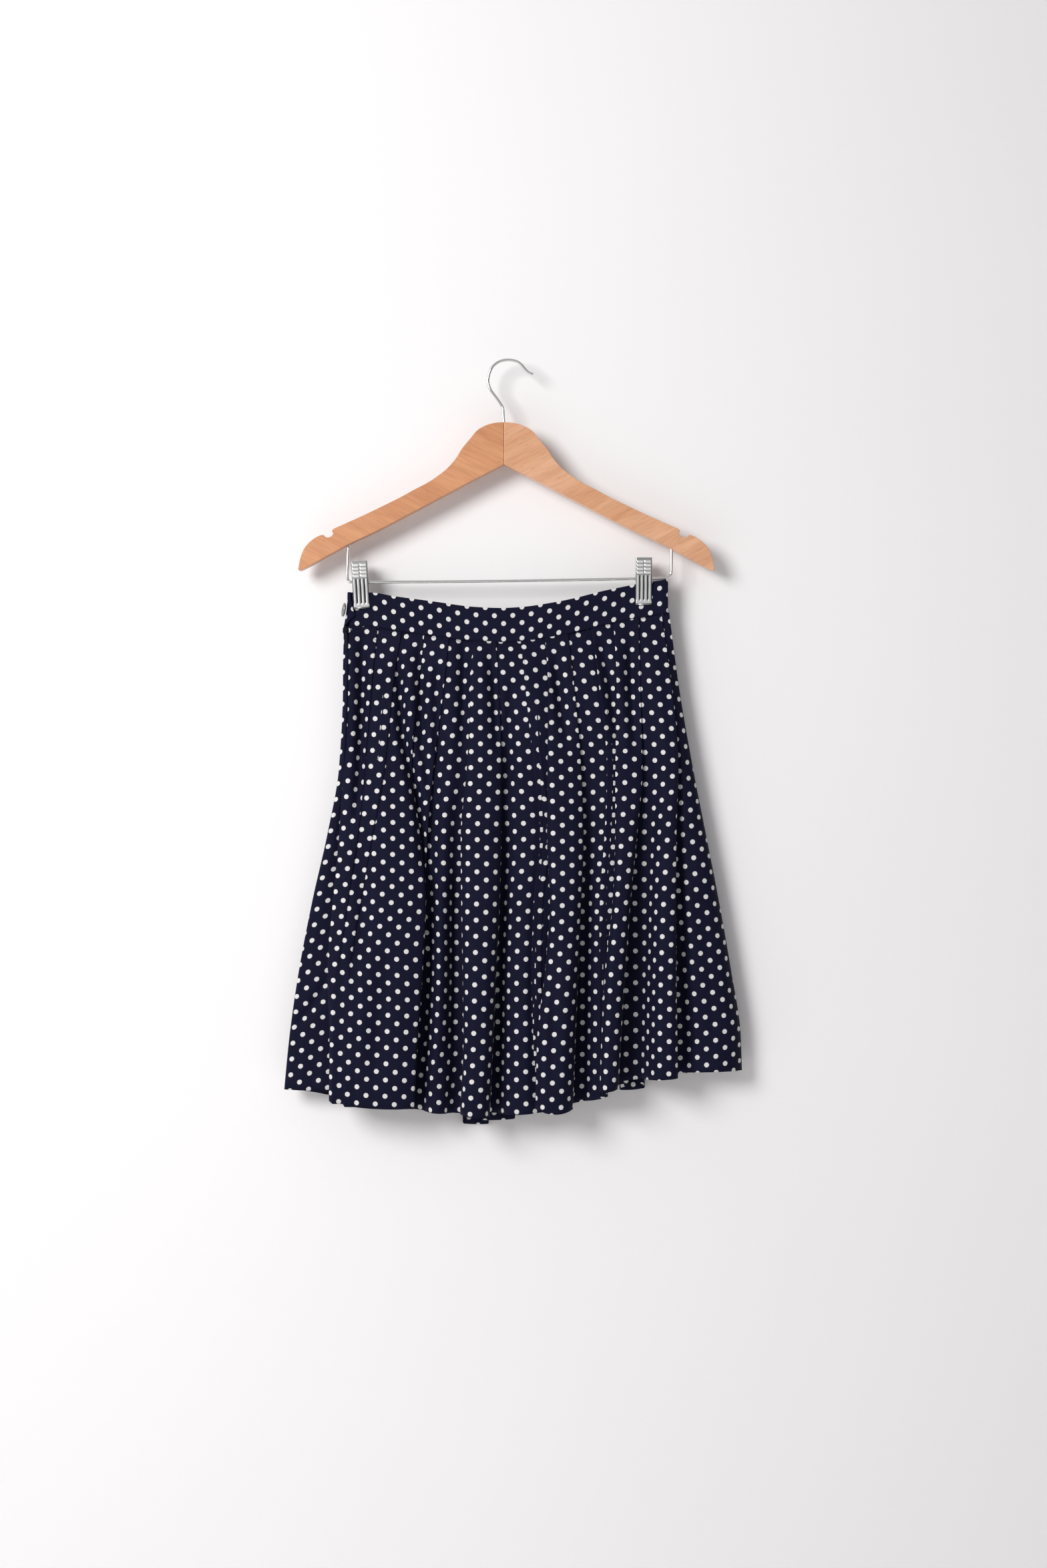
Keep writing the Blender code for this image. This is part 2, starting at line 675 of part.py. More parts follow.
def make_zip():
    """Tape between the front's lap and the back, a slider at its top, and the pull on its pin."""
    shares = (0.005, 0.06, 0.12, 0.18, 0.24, 0.30, 0.349)
    lines = []
    for share in shares:
        x, drop, wing_y, fold_y = lap(share)
        y = -(wing_y + fold_y) / 2
        lines.append([Vector((x + 0.6 + TAPE_WIDTH * n / 2, y, -drop)) for n in range(3)])
    wall("zip_tape", lines, TAPE_WALL, "navy_tape")

    body = (
        # height from the pin, half width, back y, front y
        (3.4, 1.5, 0.0, 2.0),
        (2.2, 2.3, 0.0, 2.8),
        (-1.8, 2.6, 0.0, 2.8),
        (-3.8, 1.9, 0.0, 2.2),
    )
    rings = []
    for height, half, back, front in body:
        z = height - PULL_DROP
        low, high = PULL_X - SLIDER_ASIDE - half, PULL_X - SLIDER_ASIDE + half
        y_back, y_front = SLIDER_Y - back, SLIDER_Y - front
        rings.append([Vector((low, y_back, z)), Vector((high, y_back, z)),
                      Vector((high, y_front, z)), Vector((low, y_front, z))])
    slider = stack("zip_slider", rings, "navy_enamel")
    cheeks = []
    for side in (-1, 1):
        x = PULL_X + side * CHEEK_ASIDE
        tip = PULL_Y - 0.3
        outline = ((CHEEK_ROOT, 1.6), (tip, 0.9), (tip, -0.7), (CHEEK_ROOT, -1.6))
        walls = (-CHEEK_WALL / 2, CHEEK_WALL / 2)
        rings = [[Vector((x + dx, y, z - PULL_DROP)) for y, z in outline] for dx in walls]
        cheeks.append(stack("cheek", rings, "navy_enamel"))
    pin = tube("pin", [Vector((PULL_X + dx, PULL_Y, -PULL_DROP)) for dx in (-1.6, 1.6)],
               [PIN_WIRE / 2] * 2, 8, "navy_enamel")
    for extra in cheeks + [pin]:
        extra.hide_render = True
        extra.display_type = "WIRE"
        join = slider.modifiers.new("Join", "BOOLEAN")
        join.operation = "UNION"
        join.object = extra
        join.solver = "EXACT"

    half = PULL_WALL / 2
    outline = (
        # half width, half thickness, height from the pin
        (0.75, 0.7, 1.3),
        (0.75, 1.25, 0.7),
        (0.75, 1.25, -0.8),
        (0.75, half, -2.2),
        (1.3, half, -4.5),
        (PULL_WIDTH / 2 - 0.1, half, -12.0),
        (PULL_WIDTH / 2, half, -19.5),
        (1.4, half, -21.2),
        (0.7, half, -PULL_LENGTH),
    )
    rings = []
    for wide, deep, height in outline:
        rings.append([Vector((x, y, height)) for x, y in
                      ((-wide, -deep), (wide, -deep), (wide, deep), (-wide, deep))])
    pull = stack("zip_pull", rings, "navy_enamel")
    across = [Vector((-PULL_WIDTH, 0, 0)), Vector((PULL_WIDTH, 0, 0))]
    eye = tube("zip_eye", across, [EYE_WIDE / 2] * 2, 10, "navy_enamel")
    cut(pull, eye)
    pivot = Vector((PULL_X, PULL_Y, -PULL_DROP)) * MM
    pull.location = pivot
    eye.location = pivot
    return slider, pull


def make_arm(side):
    """Half of the wooden hanger, cut from a board and rounded along its edges."""
    sign = -1 if side == "left" else 1
    joint = ARM_JOINT_X + sign * GAP / 2
    outline = [(joint + sign * reach * ARM_REACH[side], -drop) for reach, drop in ARM_OUTLINE]
    rings = [[Vector((x, y, z)) for x, z in outline] for y in (-ARM_WIDE / 2, ARM_WIDE / 2)]
    arm = stack("hanger_arm_" + side, rings, "varnished_wood")
    bevel(arm, ARM_EDGE, 2)
    return arm


def wire_hole(path, radius, name):
    """A guide for the hole that the end of a wire stands in."""
    ahead = (path[0] - path[1]).normalized()
    ends = [path[1] - ahead * 40, path[0] + ahead * 0.6]
    return tube(name, ends, (radius, radius), 12, "bright_steel")


def make_hanger():
    arms = {side: make_arm(side) for side in ("left", "right")}
    hook_path = curve_through([Vector((x, 0, -drop)) for x, drop in HOOK_LINE], 2)
    radii = [HOOK_WIRE / 2] * len(hook_path)
    radii[-1] = 0.55 * HOOK_WIRE / 2
    tube("hanger_hook", hook_path, radii, 8, "bright_steel")
    bar_path = curve_through([Vector((x, 0, -drop)) for x, drop in BAR_LINE], 2)
    tube("trouser_bar", bar_path, [BAR_WIRE / 2] * len(bar_path), 8, "bright_steel")
    for side, path, wire in (("left", bar_path, BAR_WIRE), ("right", bar_path[::-1], BAR_WIRE)):
        cut(arms[side], wire_hole(path[:1] + path[3:4], wire / 2 + DRILL, "bar_hole_" + side))
    for side in arms:
        path = [hook_path[0], hook_path[1]]
        cut(arms[side], wire_hole(path, HOOK_WIRE / 2 + DRILL, "hook_hole_" + side))


def plate(name, inset, facing):
    """One bent sheet of a clip, its two flanges reaching in past the bar."""
    half = CLIP_WIDE / 2 - inset
    rings = []
    for height, outer, reach in CLIP_SIDE:
        inner = outer - CLIP_SHEET
        flange = min(reach, inner - 0.05)
        z = height - CLIP_BAR
        ring = [(-half, flange), (-half, outer), (half, outer), (half, flange),
                (half - CLIP_SHEET, flange), (half - CLIP_SHEET, inner),
                (CLIP_SHEET - half, inner), (CLIP_SHEET - half, flange)]
        rings.append([Vector((x, facing * y, z)) for x, y in ring])
    return stack(name, rings, "bright_steel")


def make_clip(name, x, drop, lean):
    """Two plates on the bar, held shut on the waistband by a spring that is wound round it."""
    place = (Matrix.Translation(Vector((x, 0, -drop)) * MM)
             @ Matrix.Rotation(math.radians(-lean), 4, "Y"))
    front = plate("clip_" + name + "_front", 0.0, -1)
    back = plate("clip_" + name + "_back", CLIP_SHEET + 0.3, 1)
    turns = 10
    path = []
    for n in range(SPRING_TURNS * turns + 1):
        a = 2 * math.pi * n / turns
        along = mix(-SPRING_HALF, SPRING_HALF, n / (SPRING_TURNS * turns))
        path.append(Vector((along, SPRING_RADIUS * math.cos(a), SPRING_RADIUS * math.sin(a))))
    spring = tube("clip_" + name + "_spring", path, [SPRING_WIRE / 2] * len(path), 5,
                  "bright_steel")
    for piece in (front, back, spring):
        piece.data.transform(place)
    for piece in (front, back):
        ends = [Vector((-CLIP_WIDE, 0, 0)), Vector((CLIP_WIDE, 0, 0))]
        hole = tube("clip_hole", ends, [BAR_WIRE / 2 + CLIP_ROOM] * 2, 10, "bright_steel")
        hole.location = Vector((x, 0, -drop)) * MM
        cut(piece, hole)


for old in list(bpy.data.objects):
    bpy.data.objects.remove(old, do_unlink=True)
MATERIALS = make_materials()
make_skirt()
band_half("waistband_front", -1, BAND_LEFT, BAND_RIGHT)
band_half("waistband_back", 1, BAND_LEFT, BAND_RIGHT)
make_tab()
make_button()
make_zip()
make_hanger()
for row in CLIPS:
    make_clip(*row)
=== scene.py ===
"""A pleated skirt of dotted navy cloth, hung by its waistband from the two clips of a wooden hanger.

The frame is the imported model's: origin at the top of the inside of the hook, +Z up, the front of the
skirt towards -Y. Tables and sizes are in millimetres, and a drop is a distance below the origin.
"""
import math

import bmesh
import bpy
import numpy as np
from mathutils import Matrix, Vector
from mathutils.bvhtree import BVHTree


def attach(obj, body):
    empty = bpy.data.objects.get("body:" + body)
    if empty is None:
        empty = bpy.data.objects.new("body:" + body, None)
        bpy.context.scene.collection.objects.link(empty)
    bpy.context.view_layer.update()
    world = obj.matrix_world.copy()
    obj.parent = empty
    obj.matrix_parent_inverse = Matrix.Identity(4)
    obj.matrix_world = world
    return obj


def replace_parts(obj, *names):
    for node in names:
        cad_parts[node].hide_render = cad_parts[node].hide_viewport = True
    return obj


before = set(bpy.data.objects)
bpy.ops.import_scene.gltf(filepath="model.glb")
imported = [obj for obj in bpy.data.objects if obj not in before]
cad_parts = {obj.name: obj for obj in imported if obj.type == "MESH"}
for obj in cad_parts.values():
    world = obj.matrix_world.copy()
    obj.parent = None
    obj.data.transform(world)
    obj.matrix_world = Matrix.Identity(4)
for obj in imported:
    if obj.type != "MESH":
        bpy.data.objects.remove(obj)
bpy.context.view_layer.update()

MM = 0.001
ROOT = "skirt_on_hanger"

# Cloth
CLOTH = 0.4                # thickness of the shell
LAYER = 0.75               # from the middle of one pressed layer to the next
PUFF = 7.5                 # how far the cloth swells out between its pleats below the waist
PUFF_BACK = 0.35           # share of that on the back
PUFF_DROPS = (287, 325, 430, 630)    # where it starts, is full, begins to wane and stays as it is
PUFF_LOST = 0.75           # share of it that has gone by the last of those
RIPPLE = 0.8
CREASES_FROM = 283         # no crease or swelling above this drop
CREASES_FULL = 313         # and all of it below this one
EDGE_POINTS = 12           # points along a free edge over which they die away
BAND_TALL = 35.8
BAND_LEFT = -168.0
BAND_RIGHT = 170.8
BAND_LOW = -0.6            # the band reaches this far below the seam line
BAND_THICK = 2.7
BAND_STEPS = 170
TAB_THICK = 1.7
TAB_STEPS = 5
TAB_ROWS = 16
HEM_INSIDE = 8.0           # from the middle plane to the inmost layer, at the hem
SIDE_SEAM_Y = 0.65
ZIP_END = 458.0
FRONT_LAP = 8.0            # how far the front is folded under along its left edge
WING_Y = (1.3, 6.5)        # from the middle plane to the wing, the back's cloth that comes round
                           # the left edge, at waist and hem
LAP_STEP = (2.2, 1.4)      # from the wing to the front's fold, over the zip and below it
WING_STEPS = 16
WING_ROUND = 3.0           # greatest half thickness of the left edge's turn
WING_CORNER = 1.2
LAP_CORNER = (0.7, 3.0)    # rounding of the front's left edge, pressed and open
LEVELS = 92
POINT_GAP = 3.3            # between the points across a panel
INNERMOST = 0.55           # the cloth comes no nearer to the middle plane than this
ROOM_USED = 0.8            # share of the way down to there that a crease may take
SOFT_TURN = 8.0            # depth of a fold's turn where its pleat is open
CORNER = (0.5, 4.5)        # rounding of a fold's corners, where it is pressed and where it is open
FADE_OVER = 70             # a fold that fades has gone after this length
FADED = (-5.4, -1.8, 1.8, 5.4)       # where its four points lie then

# Waist seam, left to right: its drop, and how far band and cloth stand from the middle plane
WAIST = (
    # x, drop, stand
    (-176, 282.0, 1.95),
    (-146, 282.0, 1.95),
    (-121, 286.0, 3.5),
    (-78, 292.0, 6.3),
    (-35, 297.8, 7.8),
    (-7, 299.0, 8.2),
    (14, 298.0, 8.0),
    (50, 292.8, 7.2),
    (71, 288.5, 6.2),
    (100, 281.0, 4.4),
    (128, 275.0, 2.3),
    (135, 273.6, 1.95),
    (173, 267.5, 1.95),
)

# How far the loose pleats have opened at each drop, from none to all
OPENING = (
    # drop, share
    (345, 0.0),
    (433, 0.20),
    (504, 0.45),
    (575, 0.68),
    (646, 0.86),
    (717, 0.97),
    (795, 1.0),
)

FRONT_DROPS = (270, 345, 433, 504, 575, 646, 717, 795)

# Front pleats, left to right: the panel on top, the cloth tucked under it at waist and hem, the drop
# at which the fold fades into the cloth, and the place of its edge at each of the drops above
FRONT_PLEATS = (
    # top, tuck_waist, tuck_hem, fades, edge x at each drop
    ("left", 9, 4, 600, (-137.5, -143.5, -151, -157.5, -168, -176, -178, -178)),
    ("left", 10, 4, 615, (-109.5, -121, -129.5, -142, -154.5, -164, -165, -165)),
    ("left", 10, 12, 0, (-86, -94, -101, -92.5, -86, -89, -94, -98)),
    ("left", 10, 10, 0, (-59.5, -67, -78, -84.5, -88, -91, -96, -100)),
    ("right", 10, 11, 0, (-35, -38.5, -42.5, -49, -48.5, -47, -46, -49.5)),
    ("left", 10, 11, 0, (-13, -9.5, -6, -6.5, -8, -11.5, -14.5, -18.5)),
    ("right", 10, 10, 0, (11.5, 19, 28, 35, 28, 26, 27.5, 31)),
    ("right", 10, 12, 0, (38, 43, 42.5, 42, 45, 40, 31.5, 29.5)),
    ("left", 10, 12, 0, (62, 70.5, 78, 80.5, 78, 75, 72, 69)),
    ("right", 6, 8, 0, (87.5, 97, 105.5, 103, 98, 97.5, 98, 98)),
    ("right", 6, 8, 0, (112.5, 116, 114.5, 114, 111, 103, 99, 96.5)),
    ("left", 10, 8, 0, (140, 141, 143, 137, 130, 125, 120, 116)),
    ("left", 8, 12, 0, (164, 174, 181, 178.5, 178, 178, 179, 180)),
)

# Front panels between those pleats: the drop of the hem, and how far the open panel stands forward
# of the inmost layers, each at its left side, middle and right side; then where one dot sits
FRONT_PANELS = (
    # hem_left, hem_mid, hem_right, rise_left, rise_mid, rise_right, dot_x, dot_drop
    (783, 784.5, 786, 21, 23, 24, -164.7, 321),
    (786, 787.5, 789, 24, 26, 26, -139.9, 317.9),
    (789, 791, 791, 26, 29, 20, -101.3, 558.8),
    (792, 793, 794, 8, 8, 8, -81.8, 328.1),
    (794.5, 798, 801, -6, 12, -6, -75.1, 558.4),
    (797, 799.5, 800, 19, 31, 18, -32.2, 576.1),
    (799.5, 799, 796, -6, 12, 13, 4.3, 567.6),
    (795, 795, 794.5, 12, 12, 12, 28.4, 312.9),
    (790.5, 796, 792, 21, 31, 17, 58.1, 560.9),
    (791.5, 787, 780, -5, 2, 10, 88, 560),
    (780, 779, 778, 12, 12, 12, 104, 340),
    (772.5, 772.5, 769.5, 21, 30, 18, 116, 566),
    (768, 763, 759.5, -5, 20, 19, 152, 560),
    (759.5, 755.5, 754.7, 0, 4, -7.3, 200, 562),
)

# Open panels that are not one even swell: how far they stand forward across them at the hem
FRONT_PROFILES = {
    # panel: ((share across, rise), ...)
    4: ((0, -6), (0.16, -6), (0.32, 8), (0.45, 14), (0.62, 10), (0.8, -4), (0.9, -6), (1, -6)),
    6: ((0, -6), (0.12, -6), (0.3, 8), (0.45, 16), (0.8, 18), (1, 13)),
    9: ((0, -6), (0.4, -6), (0.68, 5), (1, 12)),
    12: ((0, -6), (0.12, -6), (0.36, -6), (0.52, 11), (0.7, 24), (0.88, 25), (1, 20)),
    13: ((0, -5), (0.1, -6), (0.3, 2), (0.6, 7), (0.85, 3), (1, -7.3)),
}

# Left edge of the front, over the zip and then the side seam, and the skirt's two outlines
FRONT_LEFT = (-168, -170.5, -174, -178, -184.2, -189.1, -187, -187.5)
OUTLINE_LEFT = (-174.5, -174.5, -179, -191.5, -207.6, -221.5, -231.8, -239.5)
OUTLINE_RIGHT = (172.4, 182.2, 197.3, 211.2, 225, 237.5, 248.1, 250.5)

# The same for the back, where the places that set the dots lie above the cloth
BACK_DROPS = (270, 433, 600, 795)

BACK_PLEATS = (
    # top, tuck_waist, tuck_hem, fades, edge x at each drop
    ("right", 9, 9, 0, (-149, -160, -178, -197)),
    ("left", 9, 9, 0, (-124, -134, -142, -160)),
    ("right", 9, 9, 0, (-99, -108, -116, -122)),
    ("left", 9, 9, 0, (-74, -80, -90, -98)),
    ("right", 9, 9, 0, (-49, -52, -50, -48)),
    ("left", 9, 7, 0, (-24, -25, -22, -20.5)),
    ("left", 9, 7, 0, (1, 3, 6, 8)),
    ("right", 9, 9, 0, (26, 29, 33, 36)),
    ("left", 9, 9, 0, (51, 57, 62, 66)),
    ("right", 9, 9, 0, (76, 82, 88, 92)),
    ("right", 9, 9, 0, (101, 109, 116, 121)),
    ("left", 9, 9, 0, (126, 134, 142, 148)),
    ("right", 9, 9, 0, (151, 162, 174, 185)),
)

BACK_PANELS = (
    # hem_left, hem_mid, hem_right, rise_left, rise_mid, rise_right, dot_x, dot_drop
    (777, 780, 783, -7.3, 1, 0, 3, 2),
    (783, 785, 787, 11, 13, 11, 6, 5),
    (787, 788, 789, 0, 2, 0, 1, 1),
    (799.5, 800, 799, 12, 13, 12, 8, 7),
    (790, 793, 796, 0, 2, 0, 2, 3),
    (815, 816, 815.5, 11, 13, 12, 5, 6),
    (810, 810.5, 809, 6, 7, 5, 9, 0),
    (794, 793, 792, 0, 2, 0, 4, 4),
    (790, 790, 789, 11, 13, 11, 0, 2),
    (784, 780, 777, 0, 2, 0, 7, 5),
    (775, 773, 771, 6, 8, 6, 2, 1),
    (779, 779, 777, 12, 13, 12, 6, 6),
    (765, 761, 759, 0, 2, 0, 1, 3),
    (759.5, 757, 755, 9, 6, -7.3, 5, 0),
)
LAST_PANEL = len(FRONT_PANELS) - 1           # the back has as many
WING_HEM = (777, 775)
WING_DOT = (3, 2)                            # dot_x, dot_drop
FRONT_MERGES = {0: (2, 655), 1: (2, 655)}    # panel: the panel whose dots it joins, and the drop

# The waistband's overlap, from its end on the front round the left edge to the back
TAB = (
    # x at the top, x at the bottom, y, drop of the bottom edge
    (-166.4, -161.9, -4.75, 271.0),
    (-167.6, -166.0, -4.75, 274.5),
    (-168.4, -169.6, -4.3, 278.5),
    (-169.2, -172.2, -3.0, 281.6),
    (-169.4, -173.4, -1.2, 282.9),
    (-168.6, -172.0, 0.9, 282.9),
    (-167.0, -168.6, 1.95, 282.9),
)

# Zip and button
TAPE_WIDTH = 8.0
TAPE_SHARES = (0.005, 0.344)    # where it starts on the way down to the hem, and how far it runs
TAPE_LEVELS = 48
TAPE_COLUMNS = 5
TEETH = 110
TEETH_SHARES = (0.045, 0.30)
TOOTH_OUTLINE = ((-0.8, -0.35), (0.8, -0.35), (0.8, 0.35), (-0.8, 0.35))
TOOTH_RINGS = (            # height, share of the outline
    (-0.6, 0.7), (-0.35, 1.0), (0.35, 1.0), (0.6, 0.7))
BUTTON_AT = (-172.55, -2.6, -265.0)
BUTTON_YAW = 192.0         # degrees: the button faces left
BUTTON_TIP = 8.0

# Stitches
STITCHED_TO = 352.0        # drop at which the stitches of the pleats end
STITCHES_DOWN = 22         # in each pleat
STITCHES_ACROSS = 118      # under the waist seam
STITCH_LONG = 1.9
STITCH_ASIDE = 1.4         # from the pleat's edge
SEAM_BELOW = 2.2           # from the waist seam to the stitches under it
PLEAT_THREAD = 0.2         # radii of the threads
SEAM_THREAD = 0.22
LOOSE_THREAD = 0.24
BUTTON_THREAD = 0.28
STITCH_STEP = 0.6          # no stitch where the cloth steps by more than this
STITCH_TURNS = (0.0, 1.26, 2.51, 3.77, 5.03)    # five directions round a thread, in radians
STITCH_FORM = (            # along, size, height above the cloth
    (-0.5, 0.35, -0.15), (-0.3, 1.0, 0.05), (0.3, 1.0, 0.05), (0.5, 0.35, -0.15))
THREAD_ENDS = (
    # x, drop, across, up
    (-166.5, 284.5, 1.6, -1.8),
    (-154.3, 283.0, 2.4, 0.6),
    (-138.2, 284.2, 1.4, 1.5),
    (-140.6, 296.0, 0.8, -2.6),
)

# Hanger
ARM_WIDE = 14.0            # thickness of the wooden arms, front to back
ARM_JOINT_X = -3.6
ARM_EDGE = 3.2             # rounding of the arms' edges
ARM_REACH = {"left": 1.0, "right": 1.022}
ARM_CORNERS = (0, 15, 19, 25, 32)    # points of the outline below where it turns sharply
SHORT_STRETCH = 9.0        # stretches of an outline up to this length get fewer points
HOOK_WIRE = 3.2
BAR_WIRE = 3.0
WIRE_STEPS = 8
WIRE_SIDES = 20
CLIP_SHEET = 0.8
CLIP_HALF = 8.5            # half the width of a clip's front plate
CLIP_BAR = 28.5            # height of the bar above the jaw
CLIP_STEP = 25.4           # height at which the side flanges widen to take the bar
CLIP_BEHIND = -2.6         # how far past the middle plane they reach there
RIBS_END = 32.0            # height at which the ribs end and the ridges of the grip start
RIDGE_ROWS = 4
RIDGE_FIRST = 34.2
RIDGE_STEP = 3.85
SPRING_WIRE = 1.0
SPRING_TURNS = 4
SPRING_COIL = 3.0
SPRING_HALF = 4.2
SPRING_STEPS = 24          # points in each turn

# Dots, in the cloth's own millimetres
DOTS_ACROSS = 19.9
DOTS_DOWN = 16.9
BAND_DOTS_ACROSS = 19.5
BAND_DOTS_DOWN = 16.4
DOT_RADIUS = 2.55
DOT_EDGE = 0.22            # half the width of its soft edge
BAND_PRINT = (43.0, 0.3)   # shift of the print on the waistband
TAB_PRINT = (158.0, 264.0)

# Room
WALL_Y = 25.5
ROOM_HALF = 3200
ROOM_TOP = 1500
ROOM_FRONT = -3400
FLOOR_Z = -1500

# View and light, in metres and watts
EYE = (0.0171, -2.3196, -0.4501)
KEY_AT = (-1.45, -2.1, 0.45)
KEY_AIM = (0, 0, -0.5)
KEY_SIZE = 1.2
KEY_POWER = 54
SKY_TOWARDS = (-0.55, -0.35, 0.75)
SKY_LOW = (0.16, 0.16, 0.17, 1)
SKY_HIGH = (1.0, 0.995, 1.0, 1)
SKY_STRENGTH = 0.55

# Half of the hanger's outline from the joint out: over the top, round the end, back underneath
ARM_OUTLINE = (
    # reach, drop
    (0, 65.6),
    (11.5, 66.8),
    (19.5, 69.3),
    (28.5, 74.5),
    (37, 84.5),
    (45, 94.3),
    (51, 104),
    (60, 114.5),
    (71, 123.3),
    (82, 130.5),
    (95.5, 137.5),
    (111, 146),
    (144, 162.2),
    (168, 173.2),
    (182, 179.8),
    (181.2, 183.8),
    (183.6, 187),
    (186.5, 188.2),
    (189.5, 187.6),
    (191.7, 185.4),
    (194.5, 185.8),
    (200, 188.2),
    (206.3, 192.9),
    (212, 199.5),
    (216, 209),
    (218.6, 221),
    (217.4, 223),
    (209.5, 220),
    (166, 196),
    (133.5, 180.6),
    (85.5, 155.5),
    (32, 127),
    (0, 110.6),
)

HOOK_LINE = (
    # x, drop: the middle of the wire from the wood up and over
    (-4, 82),
    (-4, 65),
    (-4.3, 56.5),
    (-4.8, 50),
    (-7.1, 45.4),
    (-11.4, 39.2),
    (-17.1, 31.6),
    (-19.9, 25.4),
    (-20.7, 20.8),
    (-19.9, 15.1),
    (-17.1, 7.5),
    (-12.3, 2.3),
    (-6.6, -0.6),
    (-0.9, -1.6),
    (4.8, -1.3),
    (10.5, 0.3),
    (15.1, 3.7),
    (19, 8.4),
    (22.7, 11.8),
    (26.1, 13.2),
)

BAR_LINE = (
    # x, drop: the middle of the wire, from the hole in the left arm to the hole in the right one
    (-169.2, 190.0),
    (-170.3, 215.0),
    (-170.6, 227.5),
    (-170.2, 231.4),
    (-168.9, 233.9),
    (-166.3, 235.0),
    (-147.2, 235.0),
    (-14.2, 234.0),
    (134.0, 231.4),
    (163.5, 230.9),
    (169.5, 230.2),
    (173.0, 227.6),
    (174.4, 223.5),
    (174.6, 193.0),
)

CLIPS = (
    # name, middle x at the bar, drop of the bar, lean in degrees
    ("left", -156.3, 235.0, 3.0),
    ("right", 144.9, 231.2, 0.0),
)

CLIP_SIDE = (
    # height above the jaw, outer face from the middle plane, how far in the side flanges reach
    (0.0, 5.8, 4.9),
    (1.6, 4.75, 3.85),
    (4.0, 5.1, 3.9),
    (15.0, 6.2, 4.4),
    (25.0, 7.5, 5.0),
    (25.4, 7.5, -2.6),
    (32.0, 8.2, -2.6),
    (36.0, 8.6, 4.4),
    (46.0, 9.4, 7.2),
    (50.0, 9.6, 8.3),
)

LIP_OUTLINE = ((4.0, 0.15), (5.6, -0.15), (5.95, 0.5), (5.2, 1.7), (4.1, 1.5))

# Soft creases and rolls: the side they are on, how deep (a roll is below zero), how wide, and the
# points that they run through
CREASES = (
    # facing (-1 front, 1 back), depth, width, points (x, drop)
    (-1, 9.6, 5.1, ((-154.5, 290), (-154.5, 350), (-155.5, 420), (-159, 480))),
    (-1, -3.6, 7.0, ((-167, 300), (-168, 380), (-172, 470))),
    (-1, 11.4, 4.7, ((-116.5, 316), (-114, 355), (-111, 400), (-100, 447), (-93, 482),
                     (-88, 535))),
    (-1, -2.4, 8.0, ((-121, 292), (-104, 340), (-99, 400))),
    (-1, -2.4, 9.0, ((-142, 330), (-138, 380), (-134, 450))),
    (-1, 7.9, 5.1, ((-93, 300), (-92, 350), (-90, 410), (-80, 460))),
    (-1, 7.0, 5.1, ((-75, 330), (-74, 380), (-76, 430))),
    (-1, 7.9, 5.5, ((-46, 300), (-46, 350), (-47, 410))),
    (-1, -2.2, 9.0, ((-30, 305), (-28, 360), (-26, 420))),
    (-1, 7.9, 5.1, ((-17, 318), (-13, 360), (-10, 410))),
    (-1, 7.0, 6.0, ((4, 350), (2, 400), (1, 460))),
    (-1, -2.2, 10.0, ((22, 310), (32, 370), (36, 430))),
    (-1, 7.9, 6.0, ((52, 320), (56, 360), (62, 400))),
    (-1, -1.9, 10.0, ((84, 300), (90, 350), (94, 400))),
    (-1, 7.0, 5.1, ((100, 300), (110, 350), (116, 400))),
    (-1, 7.9, 6.0, ((130, 290), (132, 350), (136, 410))),
    (-1, -2.4, 9.0, ((150, 290), (158, 350), (166, 420))),
    (-1, 5.0, 4.5, ((-190, 652), (-198, 671), (-208.5, 689), (-222, 703))),
    (-1, 2.6, 6, ((-207, 736), (-206, 775))),
    (-1, 4.0, 6, ((-64, 722), (-71, 758), (-78, 795))),
    (-1, 7.0, 6.5, ((-56, 560), (-58, 610), (-59, 664), (-60, 723))),
    (-1, 5.0, 8, ((-158, 520), (-152, 560), (-151, 610), (-160, 650))),
    (-1, 3.0, 10, ((-128, 640), (-134, 700), (-140, 760))),
    (-1, -2.0, 12, ((-152, 660), (-156, 710), (-160, 775))),
    (-1, 4.0, 7, ((48, 600), (48, 680), (46, 765))),
    (-1, 3.0, 8, ((205, 560), (214, 640), (220, 725))),
    (-1, -2.4, 10, ((190, 560), (199, 640), (205, 725))),
    (-1, 3.0, 7, ((14, 560), (6, 640), (2, 770))),
    (1, 4.5, 7, ((-140, 300), (-146, 380), (-152, 460))),
    (1, 4.5, 7, ((-86, 300), (-92, 380), (-98, 450))),
    (1, -2.2, 9, ((-60, 300), (-66, 380), (-70, 450))),
    (1, 4.5, 7, ((-12, 305), (-12, 380), (-14, 450))),
    (1, 4.5, 7, ((40, 300), (44, 380), (50, 450))),
    (1, -2.2, 9, ((64, 300), (70, 380), (76, 450))),
    (1, 4.5, 7, ((112, 290), (122, 380), (132, 450))),
    (1, 3.5, 6, ((-130, 560), (-124, 620), (-112, 690))),
    (1, 3.0, 6, ((54, 600), (50, 680), (52, 760))),
    (1, 3.5, 5, ((170, 640), (182, 690), (200, 735))),
    (1, 3.0, 8, ((-190, 600), (-200, 680), (-206, 760))),
)


